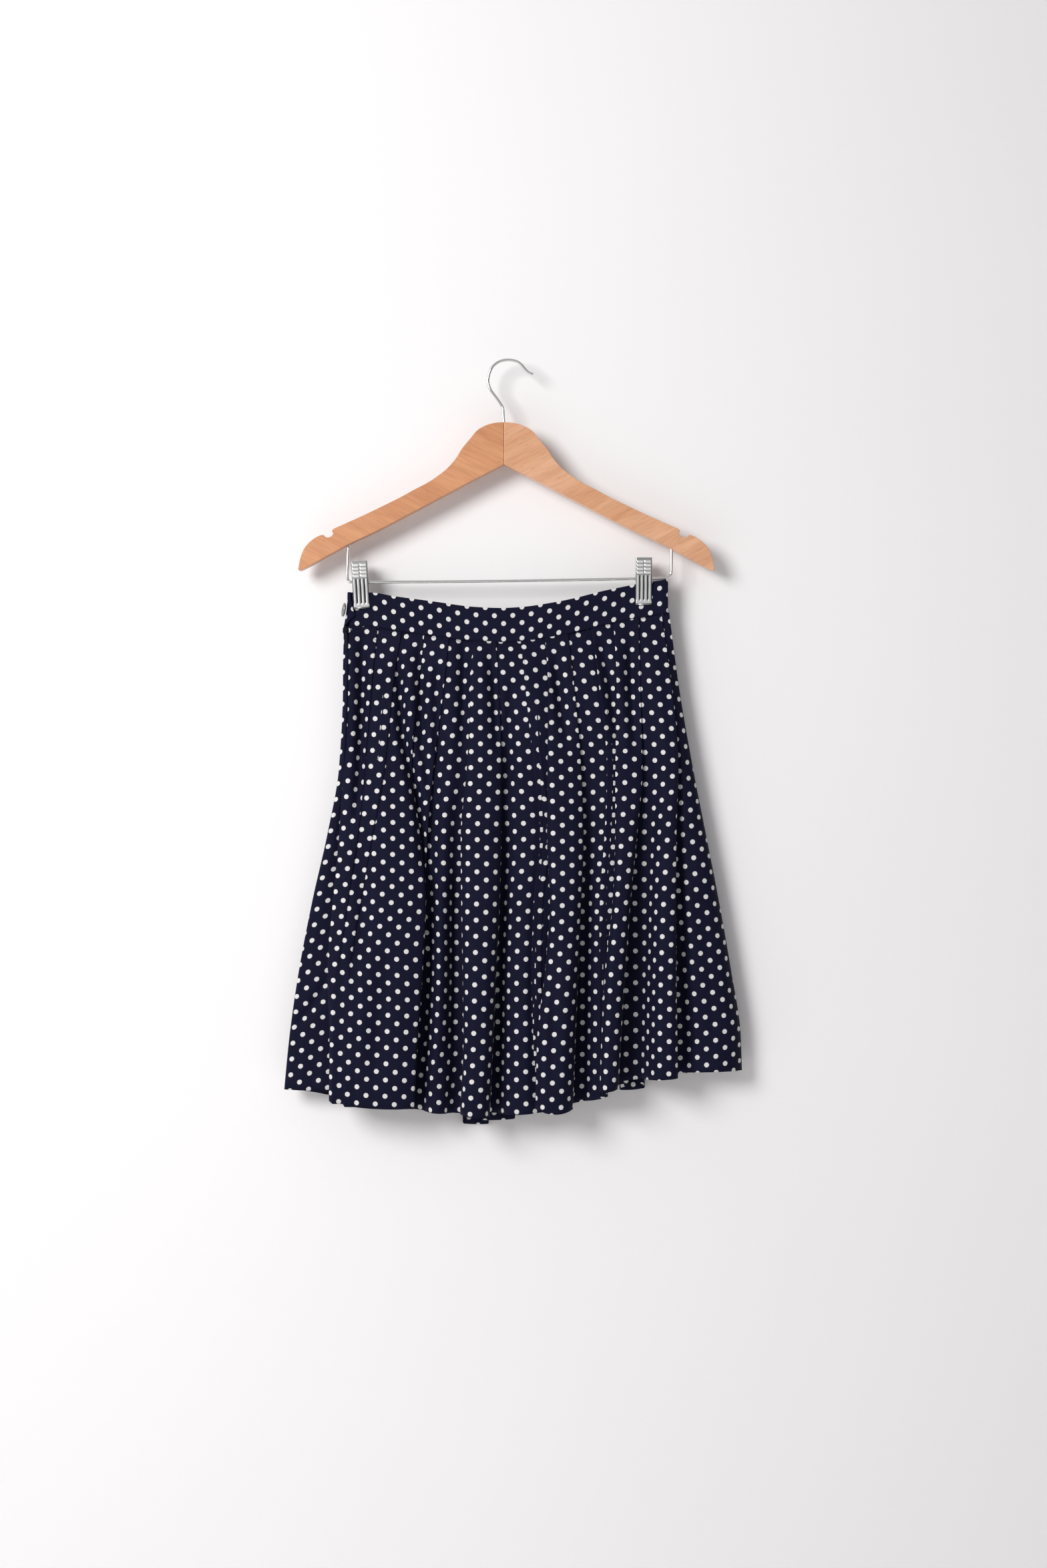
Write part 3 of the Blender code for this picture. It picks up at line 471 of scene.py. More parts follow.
def smooth(keys, values, key):
    """Value at key of the even curve through rising keys, which never swings past its values."""
    if key <= keys[0]:
        return values[0]
    if key >= keys[-1]:
        return values[-1]
    steps = [(values[i + 1] - values[i]) / (keys[i + 1] - keys[i]) for i in range(len(keys) - 1)]
    slopes = [steps[0]]
    for before, after in zip(steps, steps[1:]):
        slopes.append(0.0 if before * after <= 0 else 2 * before * after / (before + after))
    slopes.append(steps[-1])
    i = max(n for n in range(len(keys) - 1) if keys[n] <= key)
    width = keys[i + 1] - keys[i]
    u = (key - keys[i]) / width
    rise = values[i + 1] - values[i]
    bend = slopes[i] * width * u * (1 - u) ** 2 - slopes[i + 1] * width * u ** 2 * (1 - u)
    return values[i] + rise * (3 * u ** 2 - 2 * u ** 3) + bend


def mix(a, b, share):
    return a + (b - a) * share


def ease(value, low, high):
    """0 below low, 1 above high, and an even rise between."""
    u = min(1.0, max(0.0, (value - low) / (high - low)))
    return u * u * (3 - 2 * u)


def look_up(table, column, key):
    """A column's value in a table whose first column holds the keys."""
    return smooth([row[0] for row in table], [row[column] for row in table], key)


def seam_drop(x):
    return look_up(WAIST, 1, x)


def stand(x):
    return look_up(WAIST, 2, x)


def opening(drop):
    return look_up(OPENING, 1, drop)


def inmost(x, share):
    """Distance of the inmost layer from the middle plane, share of the way from waist to hem."""
    return mix(stand(x) - 1.0, HEM_INSIDE, ease(share, 0, 1))


class Side:
    """One half of the skirt: its pleats and panels as lines across the cloth at any height.

    A point of a line is its x, its distance y from the middle plane, the drop at which the cloth
    under it ends in the hem, the x from which it comes at the waist seam, how far its corner is
    rounded, the panel that it belongs to, and whether a hidden layer follows it.
    """

    def __init__(self, facing, drops, pleats, panels, left, right):
        self.facing = facing
        self.drops = drops
        self.pleats = pleats
        self.panels = panels
        self.left = left
        self.right = right

    def edge(self, i, share):
        """Place of pleat i's edge, share of the way down; pleats 0 and len + 1 are the sides."""
        last = len(self.pleats) + 1
        if i == 0:
            drops, track, hem = FRONT_DROPS, self.left, self.panels[0][0]
        elif i == last:
            drops, track, hem = FRONT_DROPS, self.right, self.panels[-1][2]
        else:
            drops, track, hem = self.drops, self.pleats[i - 1][4], self.panels[i][0]
        drop = mix(seam_drop(track[0]), hem, share)
        return smooth(drops, track, drop), drop

    def flatness(self, i, share):
        """How far pleat i has faded into the cloth, from 0 to 1."""
        if not 1 <= i <= len(self.pleats) or not self.pleats[i - 1][3]:
            return 0.0
        fades = self.pleats[i - 1][3]
        return ease(self.edge(i, share)[1], fades, fades + FADE_OVER)

    def outer(self, i, x, share):
        """Distance from the middle plane of panel i's outer layer at x."""
        panel = self.panels[i]
        left_x, right_x = self.edge(i, share)[0], self.edge(i + 1, share)[0]
        u = min(1.0, max(0.0, (x - left_x) / max(right_x - left_x, 1.0)))
        if self.facing < 0 and i in FRONT_PROFILES:
            shares, rises = zip(*FRONT_PROFILES[i])
            rise = smooth(shares, rises, u)
        else:
            hump = panel[4] - (panel[3] + panel[5]) / 2
            rise = mix(panel[3], panel[5], u) + hump * (1 - abs(2 * u - 1) ** 3.2)
        over_left = i > 0 and self.pleats[i - 1][0] == "right"
        over_right = i < len(self.pleats) and self.pleats[i][0] == "left"
        left_lift = 2 * LAYER * over_left * (1 - self.flatness(i, share))
        right_lift = 2 * LAYER * over_right * (1 - self.flatness(i + 1, share))
        drop = mix(seam_drop(x), panel[1], share)
        return inmost(x, share) + rise * opening(drop) + mix(left_lift, right_lift, u)

    def fold(self, i, share):
        """Pleat i from left to right: the end of one panel's outer layer, the two turns of the
        hidden layer, and the start of the next panel's outer layer."""
        top, tuck_waist, tuck_hem, _, track = self.pleats[i - 1]
        x, drop = self.edge(i, share)
        open_share = opening(drop)
        tuck = mix(tuck_waist, tuck_hem, open_share)
        left, right = self.panels[i - 1], self.panels[i]
        if top == "left":
            x_end, x_start, top_end, top_start = x, x - tuck, track[0], track[0] - tuck_waist
        else:
            x_end, x_start, top_end, top_start = x + tuck, x, track[0] + tuck_waist, track[0]
        end_y, start_y = self.outer(i - 1, x_end, share), self.outer(i, x_start, share)
        turn = min(LAYER + (SOFT_TURN - LAYER) * open_share, abs(end_y - start_y) / 2)
        turn = turn if top == "left" else -turn
        xs = [x_end, x_end, x_start, x_start]
        ys = [end_y, end_y - turn, start_y + turn, start_y]
        flat = self.flatness(i, share)
        if flat:
            flat_y = (end_y + start_y) / 2
            xs = [mix(a, x + b, flat) for a, b in zip(xs, FADED)]
            ys = [mix(a, flat_y, flat) for a in ys]
        hems = (left[2], mix(left[2], right[0], 1 / 3), mix(left[2], right[0], 2 / 3), right[0])
        tops = (top_end, top_end, top_start, top_start)
        soft = mix(*CORNER, open_share)
        owner = (i - 1, i - 1, i, i)
        return list(zip(xs, ys, hems, tops, [soft] * 4, owner, (False, True, False, False)))

    def line(self, share, start, end, inside):
        """All points across, with the given number inside each panel between its folds."""
        folds = [start] + [self.fold(i, share) for i in range(1, len(self.pleats) + 1)] + [end]
        points = list(folds[0])
        for i, panel in enumerate(self.panels):
            first, last = folds[i][-1], folds[i + 1][0]
            hem_hump = panel[1] - (panel[0] + panel[2]) / 2
            for n in range(1, inside[i] + 1):
                u = n / (inside[i] + 1)
                x, y, hem, x_top = (mix(a, b, u) for a, b in zip(first[:4], last[:4]))
                hem += hem_hump * 4 * u * (1 - u)
                proud = self.outer(i, x, share)
                proud += mix(first[1] - self.outer(i, first[0], share),
                             last[1] - self.outer(i, last[0], share), u)
                points.append((x, proud, hem, x_top, 0.0, i, False))
            points += folds[i + 1]
        return points


FRONT = Side(-1, FRONT_DROPS, FRONT_PLEATS, FRONT_PANELS, FRONT_LEFT, OUTLINE_RIGHT)
BACK = Side(1, BACK_DROPS, BACK_PLEATS, BACK_PANELS, OUTLINE_LEFT, OUTLINE_RIGHT)


def lap(share):
    """Where the front folds under at its left edge: edge x, drop, wing's y and the fold's y."""
    x, drop = FRONT.edge(0, share)
    below_zip = min(1.0, max(0.0, (drop - ZIP_END) / 60.0))
    wing_y = mix(*WING_Y, ease(share, 0, 1))
    step = mix(*LAP_STEP, below_zip)
    return x, drop, wing_y, wing_y + step


def front_line(share, inside):
    """From the edge of the front's lap out to its left edge and across to the right outline."""
    x, drop, _, fold_y = lap(share)
    face_y = max(fold_y + LAYER, FRONT.outer(0, x, share))
    hem = FRONT_PANELS[0][0]
    right_x, _ = FRONT.edge(len(FRONT_PLEATS) + 1, share)
    soft = mix(*LAP_CORNER, opening(drop))
    turn_y = min(fold_y + 0.4 * (face_y - fold_y), face_y - LAYER)
    fold = [(x + FRONT_LAP, fold_y, hem, FRONT_LEFT[0] + FRONT_LAP, 0.0, 0, False),
            (x, turn_y, hem, FRONT_LEFT[0], soft, 0, False)]
    end = [(right_x, SIDE_SEAM_Y, FRONT_PANELS[-1][2], OUTLINE_RIGHT[0], 0.0, LAST_PANEL, False)]
    line = FRONT.line(share, [(x, face_y, hem, FRONT_LEFT[0], soft, 0, False)], end, inside)
    return [(p[0], -p[1], *p[2:]) for p in fold + line]


def back_line(share, inside):
    """From under the front's left edge out to the left outline, round it, and across the back."""
    x, _, wing_y, _ = lap(share)
    left_x, _ = BACK.edge(0, share)
    round_y = min(wing_y, WING_ROUND)
    start = (x + FRONT_LAP, wing_y, WING_HEM[0], FRONT_LEFT[0] + FRONT_LAP)
    shoulder = (left_x + 0.9 * round_y, 0.75 * round_y, WING_HEM[1], OUTLINE_LEFT[0])
    wing = [(*start, 0.0, -1, False)]
    for n in range(1, WING_STEPS + 1):
        u = n / (WING_STEPS + 1)
        x, _, hem, x_top = (mix(a, b, u) for a, b in zip(start, shoulder))
        wing.append((x, mix(wing_y, shoulder[1], u ** 3), hem, x_top, 0.0, -1, False))
    wing.append((*shoulder, WING_CORNER, -1, False))
    wing.append((left_x, 0.0, WING_HEM[1], OUTLINE_LEFT[0], WING_CORNER, -1, False))
    right_x, _ = BACK.edge(len(BACK_PLEATS) + 1, share)
    first = [(left_x + 0.9 * round_y, 0.55 * round_y, WING_HEM[1], OUTLINE_LEFT[0], WING_CORNER, 0, False)]
    end = [(right_x, SIDE_SEAM_Y, BACK_PANELS[-1][2], OUTLINE_RIGHT[0], 0.0, LAST_PANEL, False)]
    return [(p[0], -p[1], *p[2:]) for p in wing] + BACK.line(share, first, end, inside)


def rounded(line, share):
    """The line with its corners rounded, as rows of x, y, z, panel, the same count at any height."""
    rows = []
    points = [np.array((p[0], p[1], -mix(seam_drop(p[3]), p[2], share))) for p in line]
    for i, (point, data) in enumerate(zip(points, line)):
        soft, owner, hidden_next = data[4:]
        if soft <= 0 or i == 0 or i == len(line) - 1:
            rows.append((*point, owner))
            continue
        before, after = points[i - 1] - point, points[i + 1] - point
        a_len = float(np.hypot(before[0], before[1])) + 1e-9
        b_len = float(np.hypot(after[0], after[1])) + 1e-9
        a = point + before * min(soft, 0.48 * a_len) / a_len
        b = point + after * min(soft, 0.48 * b_len) / b_len
        rows.append((*a, owner))
        rows.append((*(0.25 * a + 0.5 * point + 0.25 * b), owner))
        rows.append((*b, owner))
        if hidden_next:
            following = points[i + 1] - after * min(soft, 0.48 * b_len) / b_len
            rows += [(*(b + (following - b) * u), owner) for u in (0.25, 0.5, 0.75)]
    return rows


def crease_shift(x, drop, facing):
    """How far the cloth stands out, in millimetres, for the creases and rolls of one side."""
    shift = np.zeros_like(x)
    for side, depth, width, points in CREASES:
        if side != facing:
            continue
        best = np.full_like(x, 1e9)
        along = np.zeros_like(x)
        lengths = [math.dist(a, b) for a, b in zip(points, points[1:])]
        total = sum(lengths)
        passed = 0.0
        for (ax, ad), (bx, bd), length in zip(points, points[1:], lengths):
            u = np.clip(((x - ax) * (bx - ax) + (drop - ad) * (bd - ad)) / length ** 2, 0, 1)
            gap = np.hypot(x - (ax + u * (bx - ax)), drop - (ad + u * (bd - ad)))
            nearer = gap < best
            best = np.where(nearer, gap, best)
            along = np.where(nearer, (passed + u * length) / total, along)
            passed += length
        fade = np.sin(np.pi * np.clip(0.12 + 0.76 * along, 0, 1)) ** 0.8
        shift -= depth * fade * np.exp(-(best / width) ** 2)
    return shift


def ripple(x, drop, seed):
    """Slow uneven swelling of hanging cloth, about one millimetre either way."""
    waves = (
        # along x, along the drop, turn, size
        (0.041, 0.013, 0.3, 0.34),
        (0.063, -0.021, 1.9, 0.26),
        (-0.027, 0.034, 4.1, 0.30),
        (0.108, 0.017, 2.6, 0.16),
        (0.021, 0.071, 5.2, 0.16),
    )
    total = np.zeros_like(x)
    for kx, kd, turn, size in waves:
        total += size * np.sin(kx * x + kd * drop + turn + seed * 1.7)
    return total


def bulged(x, y, drop, facing, seed):
    """The distances y from the middle plane with creases, rolls and swelling added to them."""
    starts, full, wanes, last = PUFF_DROPS
    swell = np.clip((drop - starts) / (full - starts), 0, 1)
    swell = swell * (1 - PUFF_LOST * np.clip((drop - wanes) / (last - wanes), 0, 1))
    top = np.clip((drop - CREASES_FROM) / (CREASES_FULL - CREASES_FROM), 0, 1)
    shift = np.zeros_like(x)
    for side, puff_share in ((-1, 1.0), (1, PUFF_BACK)):
        bulge = crease_shift(x, drop, side) + ripple(x, drop, seed) * RIPPLE
        bulge += PUFF * swell * puff_share
        shift += np.where(facing[None, :] == side, bulge * top, 0)
    shift = np.maximum(shift, -np.maximum(np.abs(y) - INNERMOST, 0) * ROOM_USED)
    places = np.arange(x.shape[1])
    ends = np.clip(np.minimum(places, places[::-1]) / EDGE_POINTS, 0, 1)
    return y + facing[None, :] * shift * ends[None, :]


def flat_places(verts, owner, anchors, merges):
    """Each face corner's place on the flat cloth, so that the print lies in the cloth.

    A panel's lattice of dots goes through its anchor, and a merged panel joins another's."""
    x, y, drop = verts[:, :, 0], verts[:, :, 1], -verts[:, :, 2]
    levels, count = x.shape
    steps = np.hypot(np.diff(x, axis=1), np.diff(y, axis=1))
    across = np.concatenate([np.zeros((levels, 1)), np.cumsum(steps, axis=1)], axis=1)
    middles = {}
    for panel in anchors:
        columns = np.nonzero(owner == panel)[0]
        middle = columns[len(columns) // 2]
        run = verts[:, middle]
        hops = np.linalg.norm(np.diff(run, axis=0), axis=1)
        down = np.concatenate([[0.0], np.cumsum(hops)])
        lean = (run[-1, 0] - run[0, 0]) / max(run[0, 2] - run[-1, 2], 1.0)
        middles[panel] = (middle, down, math.atan(lean))
    shifts = {panel: (0.0, 0.0) for panel in anchors}

    def spot(panel, row, column):
        """Place on the flat cloth of a grid point, in the lattice of one panel."""
        middle, down, tilt = middles[panel]
        s = across[row, column] - across[row, middle]
        rise = verts[row, middle, 2] - verts[row, column, 2]
        return (s * math.cos(tilt) - rise * math.sin(tilt) + shifts[panel][0],
                down[row] + rise * math.cos(tilt) + s * math.sin(tilt) + shifts[panel][1])

    for panel, (dot_x, dot_drop) in anchors.items():
        columns = np.nonzero(owner == panel)[0]
        away = np.hypot(x[:, columns] - dot_x, drop[:, columns] - dot_drop)
        row, nearest = np.unravel_index(int(np.argmin(away)), away.shape)
        column = columns[nearest]
        place = spot(panel, row, column)
        shifts[panel] = (x[row, column] - dot_x - place[0], drop[row, column] - dot_drop - place[1])
    merge_rows = {}
    for panel, (lead, merge_drop) in merges.items():
        middle = middles[panel][0]
        row = int(np.argmin(np.abs(drop[:, middle] - merge_drop)))
        merge_rows[panel] = row
        wanted, own = spot(lead, row, middle), spot(panel, row, middle)
        shifts[panel] = (shifts[panel][0] + wanted[0] - own[0], shifts[panel][1] + wanted[1] - own[1])

    flats = []
    for r in range(levels - 1):
        for n in range(count - 1):
            panel = owner[n]
            if panel in merges and r >= merge_rows[panel]:
                panel = merges[panel][0]
            for row, column in ((r, n), (r + 1, n), (r + 1, n + 1), (r, n + 1)):
                flats.append((*spot(panel, row, column), 0.0))
    return flats


def placed(name, data):
    """A new object with that data, in the scene."""
    obj = bpy.data.objects.new(name, data)
    bpy.context.scene.collection.objects.link(obj)
    return obj


def mesh_object(name, verts, faces, material, shade=True):
    mesh = bpy.data.meshes.new(name)
    mesh.from_pydata([tuple(float(c) * MM for c in v) for v in verts], [], faces)
    mesh.materials.append(material)
    if shade:
        mesh.polygons.foreach_set("use_smooth", [True] * len(mesh.polygons))
    return placed(name, mesh)


def grid_faces(rows, columns):
    """Faces of a grid of points, numbered row after row."""
    return [(n, n + columns, n + columns + 1, n + 1)
            for row in range(rows - 1) for n in range(row * columns, (row + 1) * columns - 1)]


def thicken(obj, thickness):
    shell = obj.modifiers.new("Thickness", "SOLIDIFY")
    shell.thickness = thickness * MM
    shell.offset = 0


def round_edges(obj, width, segments, angle):
    """Round the edges at which the faces turn by more than the angle, in degrees."""
    edges = obj.modifiers.new("Rounded edges", "BEVEL")
    edges.width = width * MM
    edges.segments = segments
    edges.limit_method = "ANGLE"
    edges.angle_limit = math.radians(angle)


def cloth_shell(name, lines, facings, anchors, merges, material, seed):
    """A thin shell along the lines, with the place of each corner on the flat cloth."""
    grid = np.array(lines, dtype=float)
    owner = grid[0, :, 3].astype(int)
    x, drop = grid[:, :, 0], -grid[:, :, 2]
    y = bulged(x, grid[:, :, 1], drop, np.array(facings), seed)
    verts = np.stack([x, y, -drop], axis=-1)
    obj = mesh_object(name, verts.reshape(-1, 3), grid_faces(*x.shape), material)
    flats = flat_places(verts, owner, anchors, merges)
    flat = obj.data.attributes.new("cloth", "FLOAT_VECTOR", "CORNER")
    flat.data.foreach_set("vector", np.array(flats, dtype=np.float32).ravel())
    thicken(obj, CLOTH)
    return obj


def panel_counts(side):
    """How many points each panel gets between its folds."""
    counts = []
    for i in range(len(side.panels)):
        widths = []
        for share in (0.0, 0.5, 1.0):
            widths.append(side.edge(i + 1, share)[0] - side.edge(i, share)[0])
        counts.append(max(8, int((max(widths) + 8) / POINT_GAP)))
    return counts


class Nodes:
    """Short hand for building a material's nodes."""

    def __init__(self, name, roughness=0.5, metallic=0.0):
        self.material = bpy.data.materials.new(name)
        self.material.use_nodes = True
        self.tree = self.material.node_tree
        self.shader = self.tree.nodes["Principled BSDF"]
        self.set("Roughness", roughness)
        self.set("Metallic", metallic)

    def set(self, socket, value):
        self.shader.inputs[socket].default_value = value

    def node(self, kind, **settings):
        node = self.tree.nodes.new(kind)
        for key, value in settings.items():
            setattr(node, key, value)
        return node

    def link(self, a, b):
        self.tree.links.new(a, b)

    def feed(self, socket, value):
        if hasattr(value, "default_value") or hasattr(value, "is_output"):
            self.link(value, socket)
        else:
            socket.default_value = value

    def math(self, operation, a, b=0.0, c=0.0):
        node = self.node("ShaderNodeMath", operation=operation)
        for socket, value in zip(node.inputs, (a, b, c)):
            self.feed(socket, value)
        return node.outputs[0]

    def place(self):
        return self.node("ShaderNodeTexCoord").outputs["Object"]

    def noise(self, vector, scale, detail=3.0, roughness=0.5):
        node = self.node("ShaderNodeTexNoise")
        self.link(vector, node.inputs["Vector"])
        node.inputs["Scale"].default_value = scale
        node.inputs["Detail"].default_value = detail
        node.inputs["Roughness"].default_value = roughness
        return node.outputs["Fac"]

    def stretch(self, vector, scale):
        node = self.node("ShaderNodeMapping")
        self.link(vector, node.inputs["Vector"])
        node.inputs["Scale"].default_value = scale
        return node.outputs["Vector"]

    def ramp(self, value, stops):
        node = self.node("ShaderNodeValToRGB")
        self.link(value, node.inputs["Fac"])
        band = node.color_ramp
        while len(band.elements) < len(stops):
            band.elements.new(0.5)
        for element, (place, colour) in zip(band.elements, stops):
            element.position = place
            element.color = (*colour, 1)
        return node.outputs["Color"]

    def blend(self, share, a, b, kind="MIX"):
        node = self.node("ShaderNodeMix", data_type="RGBA", blend_type=kind)
        self.feed(node.inputs[0], share)
        self.feed(node.inputs[6], a)
        self.feed(node.inputs[7], b)
        return node.outputs[2]

    def bump(self, height, strength, distance):
        node = self.node("ShaderNodeBump")
        node.inputs["Strength"].default_value = strength
        node.inputs["Distance"].default_value = distance
        self.link(height, node.inputs["Height"])
        self.link(node.outputs["Normal"], self.shader.inputs["Normal"])

    def colour(self, socket):
        self.link(socket, self.shader.inputs["Base Color"])


def cloth_material(name, across, down):
    """Navy viscose with a staggered print of pale dots, laid out in the cloth's own millimetres."""
    made = Nodes(name, roughness=0.75)
    made.set("Specular IOR Level", 0.09)
    made.set("Sheen Weight", 0.02)
    made.set("Sheen Roughness", 0.4)
    place = made.node("ShaderNodeAttribute", attribute_name="cloth").outputs["Vector"]
    split = made.node("ShaderNodeSeparateXYZ")
    made.link(place, split.inputs[0])
    u, v = split.outputs[0], split.outputs[1]
    half_u, half_v = across / 2, down / 2
    gap_u = made.math("PINGPONG", u, half_u)
    gap_v = made.math("PINGPONG", v, half_v)
    other_u = made.math("SUBTRACT", half_u, gap_u)
    other_v = made.math("SUBTRACT", half_v, gap_v)
    first = made.math("ADD", made.math("POWER", gap_u, 2.0), made.math("POWER", gap_v, 2.0))
    second = made.math("ADD", made.math("POWER", other_u, 2.0), made.math("POWER", other_v, 2.0))
    away = made.math("SQRT", made.math("MINIMUM", first, second))
    edge = made.math("MULTIPLY_ADD", made.noise(place, 1.6, 2.0), 0.5, -0.25)
    away = made.math("ADD", away, edge)
    dot = made.node("ShaderNodeMapRange", interpolation_type="SMOOTHSTEP")
    made.link(away, dot.inputs["Value"])
    dot.inputs["From Min"].default_value = DOT_RADIUS + DOT_EDGE
    dot.inputs["From Max"].default_value = DOT_RADIUS - DOT_EDGE
    warp = made.noise(made.stretch(place, (5.0, 0.7, 1.0)), 1.0, 2.0, 0.6)
    weft = made.noise(made.stretch(place, (0.7, 5.0, 1.0)), 1.0, 2.0, 0.6)
    weave = made.math("ADD", warp, weft)
    cloud = made.noise(place, 0.02, 3.0)
    navy = made.ramp(cloud, ((0.3, (0.0046, 0.0051, 0.0190)), (0.7, (0.0061, 0.0066, 0.0235))))
    pale = made.ramp(weave, ((0.35, (0.55, 0.55, 0.56)), (0.65, (0.68, 0.67, 0.67))))
    thread = made.ramp(weave, ((0.3, (0.72, 0.72, 0.72)), (0.7, (1.0, 1.0, 1.0))))
    navy = made.blend(0.6, navy, thread, "MULTIPLY")
    made.colour(made.blend(dot.outputs[0], navy, pale))
    made.bump(weave, 0.35, 0.0002)
    return made.material


def plain_material(name, colour, roughness, metallic=0.0, coat=0.0, grain=0.1, scale=400.0, shine=0.5):
    """A hard finish with a little unevenness in its colour and surface."""
    made = Nodes(name, roughness, metallic)
    made.set("Specular IOR Level", shine)
    made.set("Coat Weight", coat)
    made.set("Coat Roughness", 0.15)
    place = made.place()
    cloud = made.noise(place, scale, 3.0)
    dark = tuple(c * (1 - grain) for c in colour)
    made.colour(made.ramp(cloud, ((0.3, dark), (0.7, colour))))
    made.bump(made.noise(place, scale * 3, 2.0), 0.06, 0.0002)
    return made.material


def ribbed_steel_painted_shade():
    """Bright plate, with painted shade near black in its grooves and between its grip ridges."""
    made = Nodes("ribbed_steel_painted_shade", 0.3, 0.8)
    place = made.place()
    painted_groove_shade = made.node("ShaderNodeAttribute", attribute_name="painted_groove_shade").outputs["Fac"]
    cloud = made.noise(place, 500.0, 3.0)
    cloud = made.ramp(cloud, ((0.3, (0.90, 0.90, 0.90)), (0.7, (0.97, 0.97, 0.97))))
    # painted shade: darkens the steel to near black in the grooves and between the grip ridges
    made.colour(made.blend(painted_groove_shade, cloud, (0.02, 0.02, 0.022, 1)))
    made.bump(made.noise(place, 900.0, 2.0), 0.05, 0.0002)
    return made.material


def wood_material(name, lean, warm, pale):
    """Varnished beech, its grain running along the arm."""
    made = Nodes(name, roughness=0.42)
    made.set("Coat Weight", 0.5)
    made.set("Coat Roughness", 0.18)
    place = made.place()
    turn = made.node("ShaderNodeMapping")
    made.link(place, turn.inputs["Vector"])
    turn.inputs["Rotation"].default_value = (0, lean, 0)
    place = turn.outputs["Vector"]
    broad = made.noise(made.stretch(place, (5.0, 60.0, 60.0)), 1.0, 3.0, 0.5)
    fine = made.noise(made.stretch(place, (12.0, 160.0, 160.0)), 3.0, 4.0, 0.6)
    flecks = made.noise(made.stretch(place, (60.0, 700.0, 700.0)), 1.0, 2.0, 0.6)
    base = made.ramp(broad, ((0.3, warm), (0.7, pale)))
    lines = made.ramp(fine, ((0.35, (0.80, 0.74, 0.68)), (0.6, (1.0, 1.0, 1.0))))
    marks = made.ramp(flecks, ((0.26, (0.62, 0.50, 0.42)), (0.36, (1.0, 1.0, 1.0))))
    made.colour(made.blend(0.8, made.blend(0.55, base, lines, "MULTIPLY"), marks, "MULTIPLY"))
    made.bump(fine, 0.12, 0.0002)
    return made.material


def dress_node(name, material):
    """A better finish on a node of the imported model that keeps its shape."""
    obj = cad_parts[name]
    for slot in obj.material_slots:
        slot.material = material


def ride(obj):
    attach(obj, ROOT)
    return obj


def make_cloth(material):
    shares = [i / (LEVELS - 1) for i in range(LEVELS)]
    inside = panel_counts(FRONT)
    lines = [rounded(front_line(s, inside), s) for s in shares]
    facings = [-1] * len(lines[0])
    anchors = {i: row[6:8] for i, row in enumerate(FRONT_PANELS)}
    front = cloth_shell("skirt_front_cloth", lines, facings, anchors, FRONT_MERGES, material, 0)
    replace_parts(ride(front), "skirt_front")

    inside = panel_counts(BACK)
    lines = [rounded(back_line(s, inside), s) for s in shares]
    facings = [-1 if row[3] < 0 else 1 for row in lines[0]]
    anchors = {i: row[6:8] for i, row in enumerate(BACK_PANELS)}
    anchors[-1] = WING_DOT
    back = cloth_shell("skirt_back_cloth", lines, facings, anchors, {}, material, 3)
    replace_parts(ride(back), "skirt_back")
    return front, back


def skin_faces(rings, base=0, caps=True, closed=True):
    """Faces between rings of equal length, whose points are numbered from base."""
    size = len(rings[0])
    starts = [base + r * size for r in range(len(rings))]
    faces = []
    for low, high in zip(starts, starts[1:]):
        for n in range(size if closed else size - 1):
            m = (n + 1) % size
            faces.append((low + n, low + m, high + m, high + n))
    if caps:
        faces += [tuple(range(start, start + size)) for start in (starts[0], starts[-1])]
    return faces


def turned_outwards(obj):
    """The object, with all its faces turned outwards."""
    body = bmesh.new()
    body.from_mesh(obj.data)
    bmesh.ops.recalc_face_normals(body, faces=body.faces)
    body.to_mesh(obj.data)
    body.free()
    return obj


def loft(name, rings, material, caps=True, closed=True, shade=True):
    """A skin through rings of equal length, in millimetres, its faces turned outwards."""
    verts = [tuple(point) for ring in rings for point in ring]
    faces = skin_faces(rings, 0, caps, closed)
    return turned_outwards(mesh_object(name, verts, faces, material, shade))


def curve_through(points, per_step, corners=(), per_short=None):
    """Points on a smooth curve through the given ones, which turns sharply at the corners."""
    path = []
    for i in range(len(points) - 1):
        b, c = points[i], points[i + 1]
        a = b if i in corners else points[max(i - 1, 0)]
        d = c if i + 1 in corners else points[min(i + 2, len(points) - 1)]
        short = per_short and (c - b).length <= SHORT_STRETCH
        steps = per_short if short else per_step
        for n in range(steps):
            u = n / steps
            path.append(0.5 * (2 * b + (c - a) * u + (2 * a - 5 * b + 4 * c - d) * u ** 2
                               + (3 * b - a - 3 * c + d) * u ** 3))
    path.append(points[-1].copy())
    return path


def upright(outline):
    """The points of an outline, given by x and drop, in the middle plane."""
    return [Vector((x, 0, -drop)) for x, drop in outline]


def tube(name, path, radii, sides, material):
    """A round wire along a path, with a radius for each of its points."""
    rings = []
    up = None
    for i, point in enumerate(path):
        ahead = (path[min(i + 1, len(path) - 1)] - path[max(i - 1, 0)]).normalized()
        if up is None:
            up = ahead.orthogonal().normalized()
        up = (up - ahead * up.dot(ahead)).normalized()
        across = ahead.cross(up)
        turns = [2 * math.pi * n / sides for n in range(sides)]
        rings.append([point + (up * math.cos(a) + across * math.sin(a)) * radii[i] for a in turns])
    return loft(name, rings, material)


def joined(name, pieces):
    """One object from several, with their materials."""
    body = bmesh.new()
    materials = []
    for piece in pieces:
        start = len(body.faces)
        body.from_mesh(piece.data)
        body.faces.ensure_lookup_table()
        slots = []
        for material in piece.data.materials:
            if material not in materials:
                materials.append(material)
            slots.append(materials.index(material))
        for face in body.faces[start:]:
            face.material_index = slots[face.material_index]
    mesh = bpy.data.meshes.new(name)
    body.to_mesh(mesh)
    body.free()
    for material in materials:
        mesh.materials.append(material)
    for piece in pieces:
        bpy.data.objects.remove(piece, do_unlink=True)
    return placed(name, mesh)


